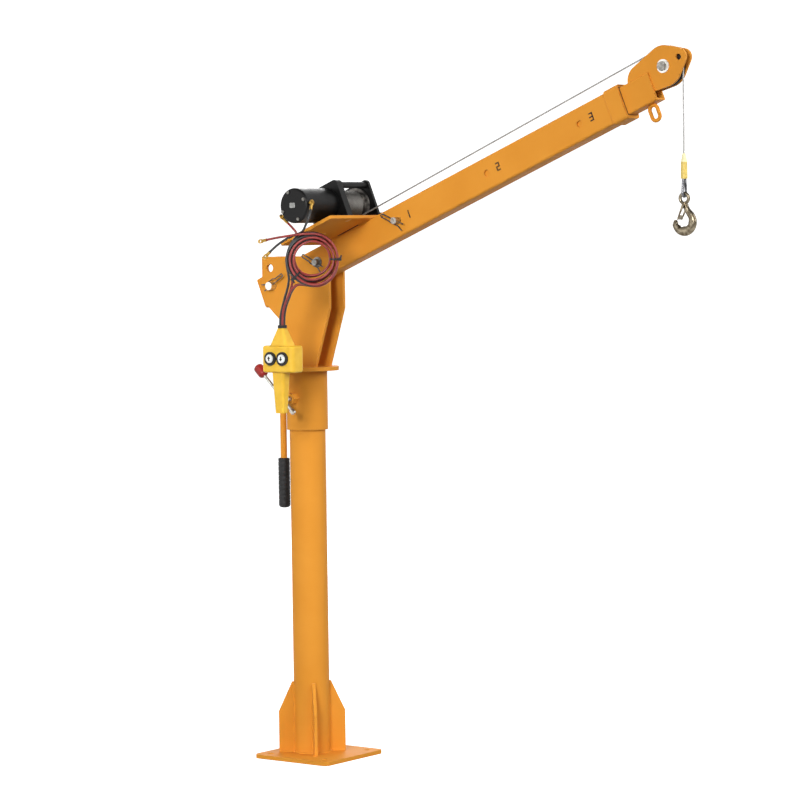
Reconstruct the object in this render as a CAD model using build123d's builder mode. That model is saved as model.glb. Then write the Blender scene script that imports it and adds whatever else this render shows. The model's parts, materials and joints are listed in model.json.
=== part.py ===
"""Truck-mounted crane: bolted base and column, turning head, telescopic boom, electric winch, hand control.

Frame in millimetres: Z is up, the origin lies on the turning axis at the underside of the base plate,
the boom points along +X and the winch motor and hand control hang on the -Y side.
"""

import math
import os

from build123d import *

os.makedirs("parts", exist_ok=True)

# Base plate and column
base_side = 230.0
base_thick = 10.0
base_ahead = 20.0  # plate centre in front of the turning axis
base_corner = 14.0
base_hole_dia = 16.0
base_hole_spacing = 170.0
column_dia = 89.0
column_wall = 5.0
gusset_thick = 8.0
gusset_reach = 83.0
gusset_edge = 102.0
gusset_height = 176.0
gusset_count = 4
gusset_first = 360 / gusset_count / 2
gusset_lip = 4.0

# Turning sleeve, its lock and its push handle
slew_gap = 0.5
sleeve_wall = 6.0
sleeve_bottom = 814.0
sleeve_length = 146.0
flange_dia = 160.0
flange_thick = 10.0
thrust_thick = 6.0
thrust_bore = 30.0
lock_height = 79.0  # lock screw above the sleeve's lower rim
lock_dia = 12.0
lock_nut_across = 24.0
lock_nut_length = 16.0
lock_reach = 105.0
lock_head_dia = 20.0
lock_head_length = 22.0
lock_bar_dia = 8.0
lock_bar_short = 42.0
lock_bar_long = 110.0
lock_bar_tilt = 135.0
lock_ball_dia = 13.0
lock_grip_dia = 26.0
lock_grip_length = 34.0
handle_height = 54.0  # handle hinge above the sleeve's lower rim
handle_offset = 77.0
handle_pin_dia = 10.0
handle_eye_dia = 24.0
handle_eye_width = 17.0
handle_side_gap = 0.5
handle_lug_thick = 6.0
handle_pin_head = 3.0
handle_head_dia = 16.0
handle_rod_dia = 16.0
handle_rod_length = 243.0
handle_grip_dia = 29.0
handle_grip_length = 124.0
handle_grip_end = 9.0

# Yoke plates and pins
yoke_side_gap = 1.0
yoke_thick = 8.0
yoke_height = 272.0
yoke_front = 100.0
yoke_rear_margin = 25.1  # plate behind the rear angle hole
yoke_foot = 54.0
yoke_front_knee = 145.0
yoke_rear_knee = 113.0
yoke_rear_shoulder = 164.0
yoke_round = 50.0
yoke_corner = 3.0
pivot_x = 66.0
pivot_below_top = 14.5
pivot_dia = 16.0
lock_radius = 153.0
angle_pin_dia = 20.0
boom_angle = 22.2
low_angle = 5.2
pin_head_dia = 28.0
pin_head_thick = 6.0
pin_fit = 0.05
washer_dia = 26.0
washer_thick = 3.0
pivot_pin_out = 15.0
angle_pin_out = 20.0
clip_wire = 3.0
clip_leg = 42.0
clip_tail = 24.0
clip_loop = 4.0
pivot_clip_tilt = 153.0
angle_clip_tilt = 32.0
stop_clip_tilt = 158.0

# Boom tubes
boom_height = 76.0
boom_width = 46.0
boom_wall = 4.0
boom_round = 6.0
boom_tail = 204.0
pivot_bush_dia = 24.0
slot_gap = 0.4
collar_thick = 4.0
collar_length = 42.0
collar_bevel = 3.0
stop_first = 262.0
stop_count = 3
last_stop_behind_nose = 127.0
stop_dia = 16.0
stop_pin_out = 21.0
slide_gap = 0.5
inner_wall = 5.0
inner_round = 4.0
inner_behind_pin = 30.0
mouth_length = 64.0

# Boom head, placed from the sheave
sheave_u = 1082.0
nose_behind_sheave = 125.0
tube_behind_sheave = 42.0
sheave_v = 30.0
sheave_pitch = 44.0
sheave_rim = 46.0
sheave_side_gap = 0.5
sheave_bolt_dia = 12.0
cheek_thick = 6.0
cheek_margin = 1.5
guard_ahead = 44.0
guard_above = 3.0
guard_round = 20.0
guard_hole_dia = 14.0
root_behind = 67.0
root_below = 4.0
root_round = 36.0
head_washer_dia = 31.0
head_washer_thick = 3.0
head_nut_across = 19.0
head_nut_thick = 9.0
eye_rod = 9.0
eye_inner_width = 12.0
eye_inner_height = 27.0
eye_behind = 69.0
eye_weld = 2.0

# Winch
platform_rear = 18.0
platform_front = 187.0
platform_near = 178.0
platform_far = 48.0
platform_thick = 8.0
platform_round = 6.0
winch_u = 131.0
winch_rise = 49.0  # winch axis above the platform
frame_half = 53.0
frame_rise = 48.0
frame_round = 10.0
near_frame_face = 84.0
near_frame_thick = 20.0
far_frame_face = 18.0
far_frame_thick = 8.0
foot_thick = 8.0
foot_bolt_inset = 11.0
foot_bolt_spread = 42.0
winch_bolt_dia = 10.0
winch_bolt_head_dia = 16.0
winch_bolt_head = 4.0
bolt_gap = 0.1
tie_rod_dia = 16.0
tie_rod_angle = 41.5
tie_rod_gap = 5.0
drum_shaft_dia = 24.0
drum_shaft_depth = 10.0
drum_flange_dia = 84.0
drum_flange_thick = 4.0
drum_side_gap = 2.0
rope_dia = 4.0
rope_turn_gap = 0.5
rope_layer_radius = 34.0
rope_seat_gap = 0.3
motor_dia = 84.0
motor_wall = 4.0
motor_length = 110.0
motor_cap_length = 15.0
motor_cap_round = 6.0
motor_screw_circle = 35.0
motor_screw_dia = 8.0
motor_screw_head = 2.5
motor_screw_first = 25.0
stud_dia = 6.0
stud_out = 12.0
red_stud_past = 7.0  # stud beyond the can, on the end cap
red_stud_angle = 212.0
black_stud_past = 5.0
black_stud_angle = 8.0
lug_ring_dia = 14.0
lug_ring_thick = 3.0
lug_barrel_dia = 7.6
lug_barrel_length = 12.0
lug_tongue_length = 15.0
lug_tongue_width = 10.0
lug_tongue_thick = 2.5
lug_hole_dia = 5.5
lug_tongue_sunk = 1.0
red_lug_lean = -32.0
black_lug_lean = 25.0
armature_dia = 60.0
armature_length = 74.0
armature_shaft_dia = 12.0
armature_seat = 6.0

# Rope end and hook
sleeve_top_below_sheave = 197.0
rope_sleeve_length = 57.0
rope_sleeve_top = 7.0
rope_sleeve_cone = 19.0
rope_sleeve_dia = 14.5
rope_sleeve_foot = 15.5
thimble_dia = 6.0
thimble_gap = 0.4
thimble_leg = 33.0
thimble_neck = 4.2
hook_eye_ring = 11.0
hook_eye_wire = 8.0
hook_wire = 16.0
hook_bowl = 23.5
hook_drop = 54.0
hook_shank_turn = 42.0
hook_tip_turn = 196.0
latch_thick = 2.4
latch_ear = 1.5
latch_lip = 11.0
latch_pin_dia = 3.0
latch_pin_along = 0.86
latch_seat_gap = 0.6

# Hand control
control_behind_coil = 98.0
control_below_coil = 165.5
control_neck = 18.0
control_shoulder_width = 54.0
control_shoulder_depth = 40.0
control_shoulder_length = 42.0
control_head_width = 98.0
control_head_depth = 46.0
control_head_height = 65.0
control_head_round = 12.0
control_head_edge = 6.0
control_neck_round = 9.0
control_grip_width = 38.0
control_grip_depth = 31.0
control_grip_shift = 6.0
control_grip_length = 98.0
control_grip_foot = 0.68
control_wall = 3.0
control_gland_dia = 22.0
control_gland_length = 7.0
gland_spacing = 7.0
button_spacing = 37.0
button_drop = 31.0  # button row below the head's upper edge
button_dia = 21.0
button_gap = 0.3
button_out = 8.0
button_depth = 18.0
button_round = 2.0
bezel_dia = 33.0
bezel_out = 5.0

# Cables
cable_dia = 5.8
cable_gap = 0.6
coil_radius = 60.0
coil_ahead = 34.6  # coil centre from the motor axis
coil_below = 127.5
coil_inset = 14.0  # coil centre from the motor's end
coil_azimuth = 37.0
coil_half_turns = 9
half_turn_samples = 40
cord_bend_share = 9 / 20
coil_tuck = 2.0  # extra room under the half turn that climbs
tie_width = 4.0
tie_thick = 2.0
tie_gap = 0.6
tie_angles = (0.0, 225.0)
lead_first_run = 22.0
red_drop_first_run = 22.0
black_drop_first_run = 24.0
motor_first_run = 20.0
gland_rise = 20.0
# Points that the cables pass, in the coil's own directions: right, front and up from its centre
red_lead_via = ((-67.0, -4.0, 54.5), (-92.0, -20.0, 51.0), (-111.0, -34.0, 47.0))
black_lead_via = ((-65.0, -10.0, 48.5), (-90.0, -26.5, 31.5), (-103.5, -37.0, 18.5))
red_drop_via = ((-54.8, -12.5, -75.5), (-67.0, -32.4, -99.5), (-74.5, -47.4, -120.5))
black_drop_via = ((-52.0, -24.6, -76.0), (-64.5, -42.4, -103.5), (-70.5, -54.4, -122.5))
motor_red_via = (
    (-50.0, -28.0, 44.0),
    (-58.0, -27.0, 20.0),
    (-60.0, -26.0, -16.0),
    (-58.0, -30.0, -50.0),
    (-62.0, -38.0, -78.0),
    (-70.0, -55.0, -104.0),
)
motor_black_via = (
    (-16.0, 34.0, 80.0),
    (-22.0, 17.0, 67.0),
    (-30.0, -6.0, 64.0),
    (-46.0, -20.0, 54.0),
    (-62.0, -20.0, 28.0),
    (-68.0, -19.0, -6.0),
    (-68.0, -23.0, -42.0),
    (-72.0, -32.0, -70.0),
    (-76.0, -42.0, -99.0),
)

# Values that follow from the driving dimensions
column_radius = column_dia / 2
sleeve_bore = column_radius + slew_gap
sleeve_radius = sleeve_bore + sleeve_wall
sleeve_top = sleeve_bottom + sleeve_length
column_top = sleeve_top - thrust_thick
flange_top = sleeve_top + flange_thick
yoke_top = flange_top + yoke_height
yoke_gap = boom_width + 2 * yoke_side_gap
yoke_outer = yoke_gap / 2 + yoke_thick
yoke_rear = lock_radius * math.cos(math.radians(low_angle)) - pivot_x + yoke_rear_margin
pivot_z = yoke_top - pivot_below_top
luff_range = boom_angle - low_angle
half_height = boom_height / 2
half_width = boom_width / 2
inner_height = boom_height - 2 * boom_wall - 2 * slide_gap
inner_width = boom_width - 2 * boom_wall - 2 * slide_gap
cavity_width = inner_width - 2 * inner_wall
cavity_height = inner_height - 2 * inner_wall
cheek_outer = cavity_width / 2
sheave_width = 2 * (cheek_outer - cheek_thick - sheave_side_gap)
platform_top = half_height + platform_thick
winch_v = platform_top + winch_rise
frame_top = winch_v + frame_rise
drum_near = -(near_frame_face - drum_side_gap)
drum_far = far_frame_face - drum_side_gap
motor_near = -(near_frame_face + near_frame_thick)
motor_far = motor_near - motor_length
motor_end = motor_far - motor_cap_length
drum_core_radius = rope_layer_radius - rope_dia / 2 - rope_seat_gap
boom_nose = sheave_u - nose_behind_sheave
stop_step = (boom_nose - last_stop_behind_nose - stop_first) / (stop_count - 1)
stop_places = [stop_first + stop_step * place for place in range(stop_count)]
inner_nose = sheave_u - tube_behind_sheave
guard_u = sheave_u + guard_ahead
guard_v = sheave_v + guard_above
root_u = sheave_u - root_behind
root_v = sheave_v - root_below
eye_u = sheave_u - eye_behind
tie_rod_radius = (drum_flange_dia + tie_rod_dia) / 2 + tie_rod_gap
tie_rod_spread = tie_rod_radius * math.cos(math.radians(tie_rod_angle))
tie_rod_rise = tie_rod_radius * math.sin(math.radians(tie_rod_angle))
rope_pitch = rope_dia + rope_turn_gap
rope_turns = int((-drum_near - drum_flange_thick - rope_dia) / rope_pitch)
turn_samples = 24
cable_step = cable_dia + cable_gap

boom_x_dir = Vector(math.cos(math.radians(boom_angle)), 0, math.sin(math.radians(boom_angle)))
boom_v_dir = Vector(-boom_x_dir.Z, 0, boom_x_dir.X)
boom_plane = Plane(origin=(pivot_x, 0, pivot_z), x_dir=boom_x_dir, z_dir=(0, -1, 0))


def save(piece, name):
    """Label a finished piece and write its STEP file."""
    piece.part.label = name
    export_step(piece.part, f"parts/{name}.step")


def boom_at(y):
    """Side view plane of the boom at a given Y; sketches are in boom length and height."""
    return boom_plane.offset(-y)


def side_at(y):
    """Side view plane at a given Y; sketches are in X and Z."""
    return Plane.XZ.offset(-y)


def boom_point(u, v, y):
    """World point from the boom's length, height and crosswise coordinates."""
    return boom_plane.from_local_coords(Vector(u, v, -y))


def boom_section(u):
    """Cross-section plane of the boom at a length; sketches are in Y and boom height."""
    return Plane(origin=boom_point(u, 0, 0), x_dir=(0, 1, 0), z_dir=boom_x_dir)


def deck_plane(v):
    """Plane parallel to the boom's top face at a boom height; sketches are in boom length and Y."""
    return Plane(origin=boom_point(0, v, 0), x_dir=boom_x_dir, z_dir=boom_v_dir)


def pin_point(angle):
    """Angle-pin hole in X and Z for a boom elevation."""
    return (
        pivot_x - lock_radius * math.cos(math.radians(angle)),
        pivot_z - lock_radius * math.sin(math.radians(angle)),
    )


# Mast
with BuildPart() as base_plate:
    with BuildSketch(Plane.XY):
        with Locations((base_ahead, 0)):
            RectangleRounded(base_side, base_side, base_corner)
            with GridLocations(base_hole_spacing, base_hole_spacing, 2, 2):
                Circle(base_hole_dia / 2, mode=Mode.SUBTRACT)
    extrude(amount=base_thick)
save(base_plate, "base_plate")

with BuildPart() as base_gussets:
    for corner in range(gusset_count):
        turn = math.radians(gusset_first + 360 / gusset_count * corner)
        across = (math.sin(turn), -math.cos(turn), 0)
        upright = Plane(origin=(0, 0, base_thick), x_dir=(math.cos(turn), math.sin(turn), 0), z_dir=across)
        with BuildSketch(upright):
            with BuildLine():
                Polyline(
                    (column_radius / 2, 0),
                    (gusset_reach, 0),
                    (gusset_reach, gusset_edge),
                    (column_radius + gusset_lip, gusset_height),
                    (column_radius / 2, gusset_height),
                    close=True,
                )
            make_face()
        extrude(amount=gusset_thick / 2, both=True)
    with BuildSketch(Plane.XY):
        Circle(column_radius)
    extrude(amount=base_thick + gusset_height, mode=Mode.SUBTRACT)
save(base_gussets, "base_gussets")

with BuildPart() as column_tube:
    with BuildSketch(Plane.XY.offset(base_thick)):
        Circle(column_radius)
        Circle(column_radius - column_wall, mode=Mode.SUBTRACT)
    extrude(amount=column_top - base_thick)
save(column_tube, "column_tube")

with BuildPart() as slew_thrust_washer:
    with BuildSketch(Plane.XY.offset(column_top)):
        Circle(column_radius)
        Circle(thrust_bore / 2, mode=Mode.SUBTRACT)
    extrude(amount=thrust_thick)
save(slew_thrust_washer, "slew_thrust_washer")

# Turning sleeve and head
lock_z = sleeve_bottom + lock_height
handle_z = sleeve_bottom + handle_height

with BuildPart() as sleeve_tube:
    with BuildSketch(Plane.XY.offset(sleeve_bottom)):
        Circle(sleeve_radius)
        Circle(sleeve_bore, mode=Mode.SUBTRACT)
    extrude(amount=sleeve_length)
    with BuildSketch(side_at(0)):
        with Locations((0, lock_z)):
            Circle(lock_dia / 2 + slew_gap)
    extrude(amount=sleeve_radius, mode=Mode.SUBTRACT)
save(sleeve_tube, "sleeve_tube")

with BuildPart() as sleeve_flange:
    with BuildSketch(Plane.XY.offset(sleeve_top)):
        Circle(flange_dia / 2)
    extrude(amount=flange_thick)
save(sleeve_flange, "sleeve_flange")

with BuildPart() as yoke_plates:
    for outer_face in (yoke_outer, -yoke_gap / 2):
        with BuildSketch(side_at(outer_face)):
            with BuildLine():
                Polyline(
                    (-yoke_foot, flange_top),
                    (yoke_foot, flange_top),
                    (yoke_front, flange_top + yoke_front_knee),
                    (yoke_front, yoke_top),
                    (-yoke_rear, yoke_top),
                    (-yoke_rear, flange_top + yoke_rear_shoulder),
                    (-yoke_foot, flange_top + yoke_rear_knee),
                    close=True,
                )
            face = make_face()
            rear_low, rear_high = face.vertices().sort_by(Axis.X)[:2].sort_by(Axis.Y)
            fillet(rear_low, radius=yoke_round)
            fillet(rear_high, radius=yoke_corner)
            with Locations((pivot_x, pivot_z)):
                Circle(pivot_dia / 2 + pin_fit, mode=Mode.SUBTRACT)
            with Locations(pin_point(boom_angle), pin_point(low_angle)):
                Circle(angle_pin_dia / 2 + pin_fit, mode=Mode.SUBTRACT)
        extrude(amount=yoke_thick)
save(yoke_plates, "yoke_plates")

with BuildPart() as lock_boss:
    with BuildSketch(side_at(-sleeve_bore)):
        with Locations((0, lock_z)):
            RegularPolygon(lock_nut_across / 2, 6, major_radius=False)
            Circle(lock_dia / 2 + pin_fit, mode=Mode.SUBTRACT)
    extrude(amount=sleeve_wall + lock_nut_length)
    with BuildSketch(Plane.XY.offset(sleeve_bottom)):
        Circle(sleeve_radius)
    extrude(amount=sleeve_length, mode=Mode.SUBTRACT)
save(lock_boss, "lock_boss")

lug_inner = handle_eye_width / 2 + handle_side_gap
lug_outer = lug_inner + handle_lug_thick
with BuildPart() as handle_bracket:
    for lug_face in (lug_outer, -lug_inner):
        with BuildSketch(side_at(lug_face)):
            with Locations((-handle_offset, handle_z)):
                Circle(handle_eye_dia / 2)
            with Locations(((-handle_offset) / 2, handle_z)):
                Rectangle(handle_offset, handle_eye_dia)
        extrude(amount=handle_lug_thick)
    with BuildSketch(Plane.XY.offset(sleeve_bottom)):
        Circle(sleeve_radius)
    extrude(amount=sleeve_length, mode=Mode.SUBTRACT)
    with BuildSketch(side_at(lug_outer)):
        with Locations((-handle_offset, handle_z)):
            Circle(handle_pin_dia / 2)
    extrude(amount=2 * lug_outer)
    for head_face in (lug_outer + handle_pin_head, -lug_outer):
        with BuildSketch(side_at(head_face)):
            with Locations((-handle_offset, handle_z)):
                Circle(handle_head_dia / 2)
        extrude(amount=handle_pin_head)
save(handle_bracket, "handle_bracket")

# Push handle, hanging straight down at rest
with BuildPart() as handle_bar:
    with BuildSketch(side_at(handle_eye_width / 2)):
        with Locations((-handle_offset, handle_z)):
            Circle(handle_eye_dia / 2)
    extrude(amount=handle_eye_width)
    with BuildSketch(Plane.XY.offset(handle_z)):
        with Locations((-handle_offset, 0)):
            Circle(handle_rod_dia / 2)
    extrude(amount=-handle_rod_length)
    with BuildSketch(side_at(handle_eye_width / 2)):
        with Locations((-handle_offset, handle_z)):
            Circle(handle_pin_dia / 2 + pin_fit)
    extrude(amount=handle_eye_width, mode=Mode.SUBTRACT)
save(handle_bar, "handle_bar")

grip_bottom = handle_z - handle_rod_length - handle_grip_end
with BuildPart() as handle_grip:
    with BuildSketch(Plane.XY.offset(grip_bottom)):
        with Locations((-handle_offset, 0)):
            Circle(handle_grip_dia / 2)
    extrude(amount=handle_grip_length)
    fillet(handle_grip.edges().group_by(Axis.Z)[0], radius=handle_grip_end / 2)
    fillet(handle_grip.edges().group_by(Axis.Z)[-1], radius=handle_grip_end / 4)
    with BuildSketch(Plane.XY.offset(grip_bottom + handle_grip_end)):
        with Locations((-handle_offset, 0)):
            Circle(handle_rod_dia / 2)
    extrude(amount=handle_grip_length, mode=Mode.SUBTRACT)
save(handle_grip, "handle_grip")

# Lock screw with its sliding cross bar
bar_y = -(lock_reach - lock_head_length / 2)
bar_dir = Vector(math.cos(math.radians(lock_bar_tilt)), 0, math.sin(math.radians(lock_bar_tilt)))


def bar_plane(distance):
    """Plane across the cross bar at a distance from the screw, positive towards the coloured grip."""
    return Plane(origin=Vector(0, bar_y, lock_z) + bar_dir * distance, x_dir=(0, 1, 0), z_dir=bar_dir)


with BuildPart() as lock_screw:
    with BuildSketch(side_at(-sleeve_bore)):
        with Locations((0, lock_z)):
            Circle(lock_dia / 2)
    extrude(amount=lock_reach - sleeve_bore)
    with BuildSketch(side_at(-(lock_reach - lock_head_length))):
        with Locations((0, lock_z)):
            Circle(lock_head_dia / 2)
    extrude(amount=lock_head_length)
    with BuildSketch(bar_plane(0)):
        Circle(lock_bar_dia / 2 + pin_fit)
    extrude(amount=lock_head_dia, both=True, mode=Mode.SUBTRACT)
save(lock_screw, "lock_screw")

with BuildPart() as lock_bar:
    with BuildSketch(bar_plane(-lock_bar_short)):
        Circle(lock_bar_dia / 2)
    extrude(amount=lock_bar_short + lock_bar_long)
    with BuildSketch(bar_plane(-lock_bar_short - lock_ball_dia / 2)):
        Circle(lock_ball_dia / 2)
    extrude(amount=lock_ball_dia)
    ball_rims = lock_bar.edges().filter_by(GeomType.CIRCLE).sort_by(SortBy.RADIUS)[-2:]
    fillet(ball_rims, radius=lock_ball_dia / 6)
save(lock_bar, "lock_bar")

with BuildPart() as lock_bar_grip:
    with BuildSketch(bar_plane(lock_bar_long - lock_grip_length + lock_bar_dia / 2)):
        Circle(lock_grip_dia / 2)
    extrude(amount=lock_grip_length)
    rims = lock_bar_grip.edges().filter_by(GeomType.CIRCLE)
    fillet(rims, radius=lock_grip_dia / 3)
    with BuildSketch(bar_plane(0)):
        Circle(lock_bar_dia / 2)
    extrude(amount=lock_bar_long, mode=Mode.SUBTRACT)
save(lock_bar_grip, "lock_bar_grip")


def clip_plane(x, y, z, tilt):
    """Plane of a retaining clip: its straight leg runs along the tilt through the pin at the origin."""
    leg = (math.cos(math.radians(tilt)), 0, math.sin(math.radians(tilt)))
    return Plane(origin=(x, y, z), x_dir=leg, z_dir=(0, -1, 0))


def cut_clip_hole(plane, pin_dia):
    """Cross hole for the clip's straight leg, cut in the pin that is being built."""
    leg_plane = Plane(origin=plane.origin, z_dir=plane.x_dir)
    with BuildSketch(leg_plane) as hole:
        Circle(clip_wire / 2 + pin_fit)
    extrude(hole.sketch, amount=pin_dia, both=True, mode=Mode.SUBTRACT)


def add_clip(plane, pin_dia):
    """Bent wire clip: a straight leg through the pin and a bowed leg that passes over it."""
    over = pin_dia / 2 + clip_wire / 2 + slot_gap
    with BuildLine(plane) as wire:
        Line((-clip_tail, 0), (clip_leg, 0))
        JernArc(start=(clip_leg, 0), tangent=(1, 0), radius=clip_loop, arc_size=180)
        FilletPolyline(
            (clip_leg, 2 * clip_loop),
            (clip_leg / 2, 2 * clip_loop),
            (clip_leg / 3, over),
            (-clip_tail / 2, over),
            (-clip_tail, over + clip_wire * 2),
            radius=clip_wire,
        )
    with BuildSketch(Plane(origin=wire.line @ 0, z_dir=wire.line % 0)) as section:
        Circle(clip_wire / 2)
    sweep(section.sketch, path=wire.line)


pivot_clip_place = clip_plane(pivot_x, -(yoke_outer + pivot_pin_out / 2), pivot_z, pivot_clip_tilt)
angle_x, angle_z = pin_point(boom_angle)
angle_clip_place = clip_plane(angle_x, -(yoke_outer + angle_pin_out / 2), angle_z, angle_clip_tilt)

with BuildPart() as yoke_pins:
    for x, z, dia, out, place in (
        (pivot_x, pivot_z, pivot_dia, pivot_pin_out, pivot_clip_place),
        (angle_x, angle_z, angle_pin_dia, angle_pin_out, angle_clip_place),
    ):
        with BuildSketch(side_at(yoke_outer + pin_head_thick)):
            with Locations((x, z)):
                Circle(pin_head_dia / 2)
        extrude(amount=pin_head_thick)
        with BuildSketch(side_at(yoke_outer)):
            with Locations((x, z)):
                Circle(dia / 2)
        extrude(amount=2 * yoke_outer + out)
        cut_clip_hole(place, dia)
    with BuildSketch(side_at(-yoke_outer)):
        with Locations((pivot_x, pivot_z)):
            Circle(washer_dia / 2)
            Circle(pivot_dia / 2 + pin_fit, mode=Mode.SUBTRACT)
    extrude(amount=washer_thick)
save(yoke_pins, "yoke_pins")

with BuildPart() as yoke_clips:
    add_clip(pivot_clip_place, pivot_dia)
    add_clip(angle_clip_place, angle_pin_dia)
save(yoke_clips, "yoke_clips")

# Outer boom tube with its pivot bush, collar and length-setting pin
pin_sweep = CenterArc((0, 0), lock_radius, 180, luff_range + 1)
with BuildPart() as outer_boom_tube:
    with BuildSketch(boom_section(-boom_tail)):
        RectangleRounded(boom_width, boom_height, boom_round)
        RectangleRounded(
            boom_width - 2 * boom_wall,
            boom_height - 2 * boom_wall,
            boom_round - boom_wall,
            mode=Mode.SUBTRACT,
        )
    extrude(amount=boom_tail + boom_nose)
    with BuildSketch(boom_at(0)):
        Circle(pivot_bush_dia / 2)
        with Locations(*[(place, 0) for place in stop_places]):
            Circle(stop_dia / 2 + pin_fit)
        SlotArc(pin_sweep, angle_pin_dia + 2 * slot_gap)
    extrude(amount=boom_width, both=True, mode=Mode.SUBTRACT)
save(outer_boom_tube, "outer_boom_tube")

with BuildPart() as boom_pivot_bush:
    with BuildSketch(boom_at(half_width)):
        Circle(pivot_bush_dia / 2)
        Circle(pivot_dia / 2 + pin_fit, mode=Mode.SUBTRACT)
    extrude(amount=boom_width)
save(boom_pivot_bush, "boom_pivot_bush")

with BuildPart() as boom_collar:
    with BuildSketch(boom_section(boom_nose - collar_length)):
        RectangleRounded(
            boom_width + 2 * collar_thick,
            boom_height + 2 * collar_thick,
            boom_round + collar_thick,
        )
    extrude(amount=collar_length)
    rear_face = boom_collar.faces().sort_by(Axis((0, 0, 0), boom_x_dir))[0]
    chamfer(rear_face.edges(), length=collar_bevel)
    with BuildSketch(boom_section(boom_nose - collar_length)):
        RectangleRounded(boom_width, boom_height, boom_round)
    extrude(amount=collar_length, mode=Mode.SUBTRACT)
save(boom_collar, "boom_collar")

stop_origin = boom_point(stop_first, 0, -(half_width + stop_pin_out / 2))
stop_clip_place = clip_plane(*stop_origin, stop_clip_tilt)
with BuildPart() as extension_pin:
    with BuildSketch(boom_at(half_width + pin_head_thick)):
        with Locations((stop_first, 0)):
            Circle(pin_head_dia / 2)
    extrude(amount=pin_head_thick)
    with BuildSketch(boom_at(half_width)):
        with Locations((stop_first, 0)):
            Circle(stop_dia / 2)
    extrude(amount=boom_width + stop_pin_out)
    cut_clip_hole(stop_clip_place, stop_dia)
save(extension_pin, "extension_pin")

with BuildPart() as extension_clip:
    add_clip(stop_clip_place, stop_dia)
save(extension_clip, "extension_clip")

# Winch platform and frame
motor_axis = boom_point(winch_u, winch_v, 0)
motor_place = (motor_axis.X, motor_axis.Z)
bolt_places = [
    (winch_u + side * foot_bolt_spread, y)
    for side in (-1, 1)
    for y in (-(near_frame_face + near_frame_thick / 2), platform_far - foot_bolt_inset)
]

with BuildPart() as winch_platform:
    with BuildSketch(deck_plane(half_height)):
        with Locations(((platform_rear + platform_front) / 2, (platform_far - platform_near) / 2)):
            RectangleRounded(platform_front - platform_rear, platform_far + platform_near, platform_round)
        with Locations(*bolt_places):
            Circle(winch_bolt_dia / 2 + bolt_gap, mode=Mode.SUBTRACT)
    extrude(amount=platform_thick)
    with BuildSketch(deck_plane(half_height)):
        with Locations(*bolt_places):
            Circle(winch_bolt_head_dia / 2 + bolt_gap)
    extrude(amount=winch_bolt_head, mode=Mode.SUBTRACT)
save(winch_platform, "winch_platform")

with BuildPart() as winch_fasteners:
    for place in bolt_places:
        with BuildSketch(deck_plane(half_height)):
            with Locations(place):
                Circle(winch_bolt_head_dia / 2)
        extrude(amount=winch_bolt_head)
        with BuildSketch(deck_plane(half_height)):
            with Locations(place):
                Circle(winch_bolt_dia / 2)
        extrude(amount=platform_thick + foot_thick)
    with BuildSketch(side_at(motor_end)):
        with Locations(motor_place):
            with PolarLocations(motor_screw_circle, 4, start_angle=motor_screw_first):
                Circle(motor_screw_dia / 2)
    extrude(amount=motor_screw_head)
save(winch_fasteners, "winch_fasteners")


def frame_outline():
    """Outline of a winch end frame: square foot, rounded upper corners."""
    with Locations((winch_u, (platform_top + frame_top) / 2)):
        Rectangle(2 * frame_half, frame_top - platform_top)


def round_frame(frame):
    """Round the two upper corners of the winch end frame that is being built."""
    crosswise = frame.edges().filter_by(Axis.Y)
    fillet(crosswise.group_by(Axis(boom_plane.origin, boom_v_dir))[-1], radius=frame_round)


def drill_frame_foot():
    """Blind tapped holes for the platform bolts."""
    with BuildSketch(deck_plane(platform_top)) as holes:
        with Locations(*bolt_places):
            Circle(winch_bolt_dia / 2 + bolt_gap)
    extrude(holes.sketch, amount=foot_thick, mode=Mode.SUBTRACT)


with BuildPart() as winch_frame_near:
    with BuildSketch(boom_at(-near_frame_face)):
        frame_outline()
    extrude(amount=near_frame_thick)
    round_frame(winch_frame_near)
    with BuildSketch(boom_at(-near_frame_face)):
        with Locations((winch_u, winch_v)):
            Circle(drum_shaft_dia / 2 + pin_fit)
    extrude(amount=drum_shaft_depth, mode=Mode.SUBTRACT)
    with BuildSketch(boom_at(motor_near + armature_seat)):
        with Locations((winch_u, winch_v)):
            Circle(armature_shaft_dia / 2 + pin_fit)
    extrude(amount=armature_seat, mode=Mode.SUBTRACT)
    drill_frame_foot()
save(winch_frame_near, "winch_frame_near")

with BuildPart() as winch_frame_far:
    with BuildSketch(boom_at(far_frame_face + far_frame_thick)):
        frame_outline()
    extrude(amount=far_frame_thick)
    round_frame(winch_frame_far)
    with BuildSketch(boom_at(platform_far)):
        with Locations((winch_u, platform_top + foot_thick / 2)):
            Rectangle(2 * frame_half, foot_thick)
    extrude(amount=platform_far - far_frame_face)
    with BuildSketch(boom_at(far_frame_face + far_frame_thick)):
        with Locations((winch_u, winch_v)):
            Circle(drum_shaft_dia / 2 + pin_fit)
    extrude(amount=far_frame_thick, mode=Mode.SUBTRACT)
    drill_frame_foot()
save(winch_frame_far, "winch_frame_far")

with BuildPart() as winch_tie_rods:
    with BuildSketch(boom_at(far_frame_face)):
        with Locations((winch_u, winch_v + tie_rod_rise)):
            with GridLocations(2 * tie_rod_spread, 0, 2, 1):
                Circle(tie_rod_dia / 2)
    extrude(amount=far_frame_face + near_frame_face)
save(winch_tie_rods, "winch_tie_rods")

# Motor
with BuildPart() as motor_can:
    with BuildSketch(side_at(motor_near)):
        with Locations(motor_place):
            Circle(motor_dia / 2)
            Circle(motor_dia / 2 - motor_wall, mode=Mode.SUBTRACT)
    extrude(amount=motor_length)
save(motor_can, "motor_can")

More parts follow.
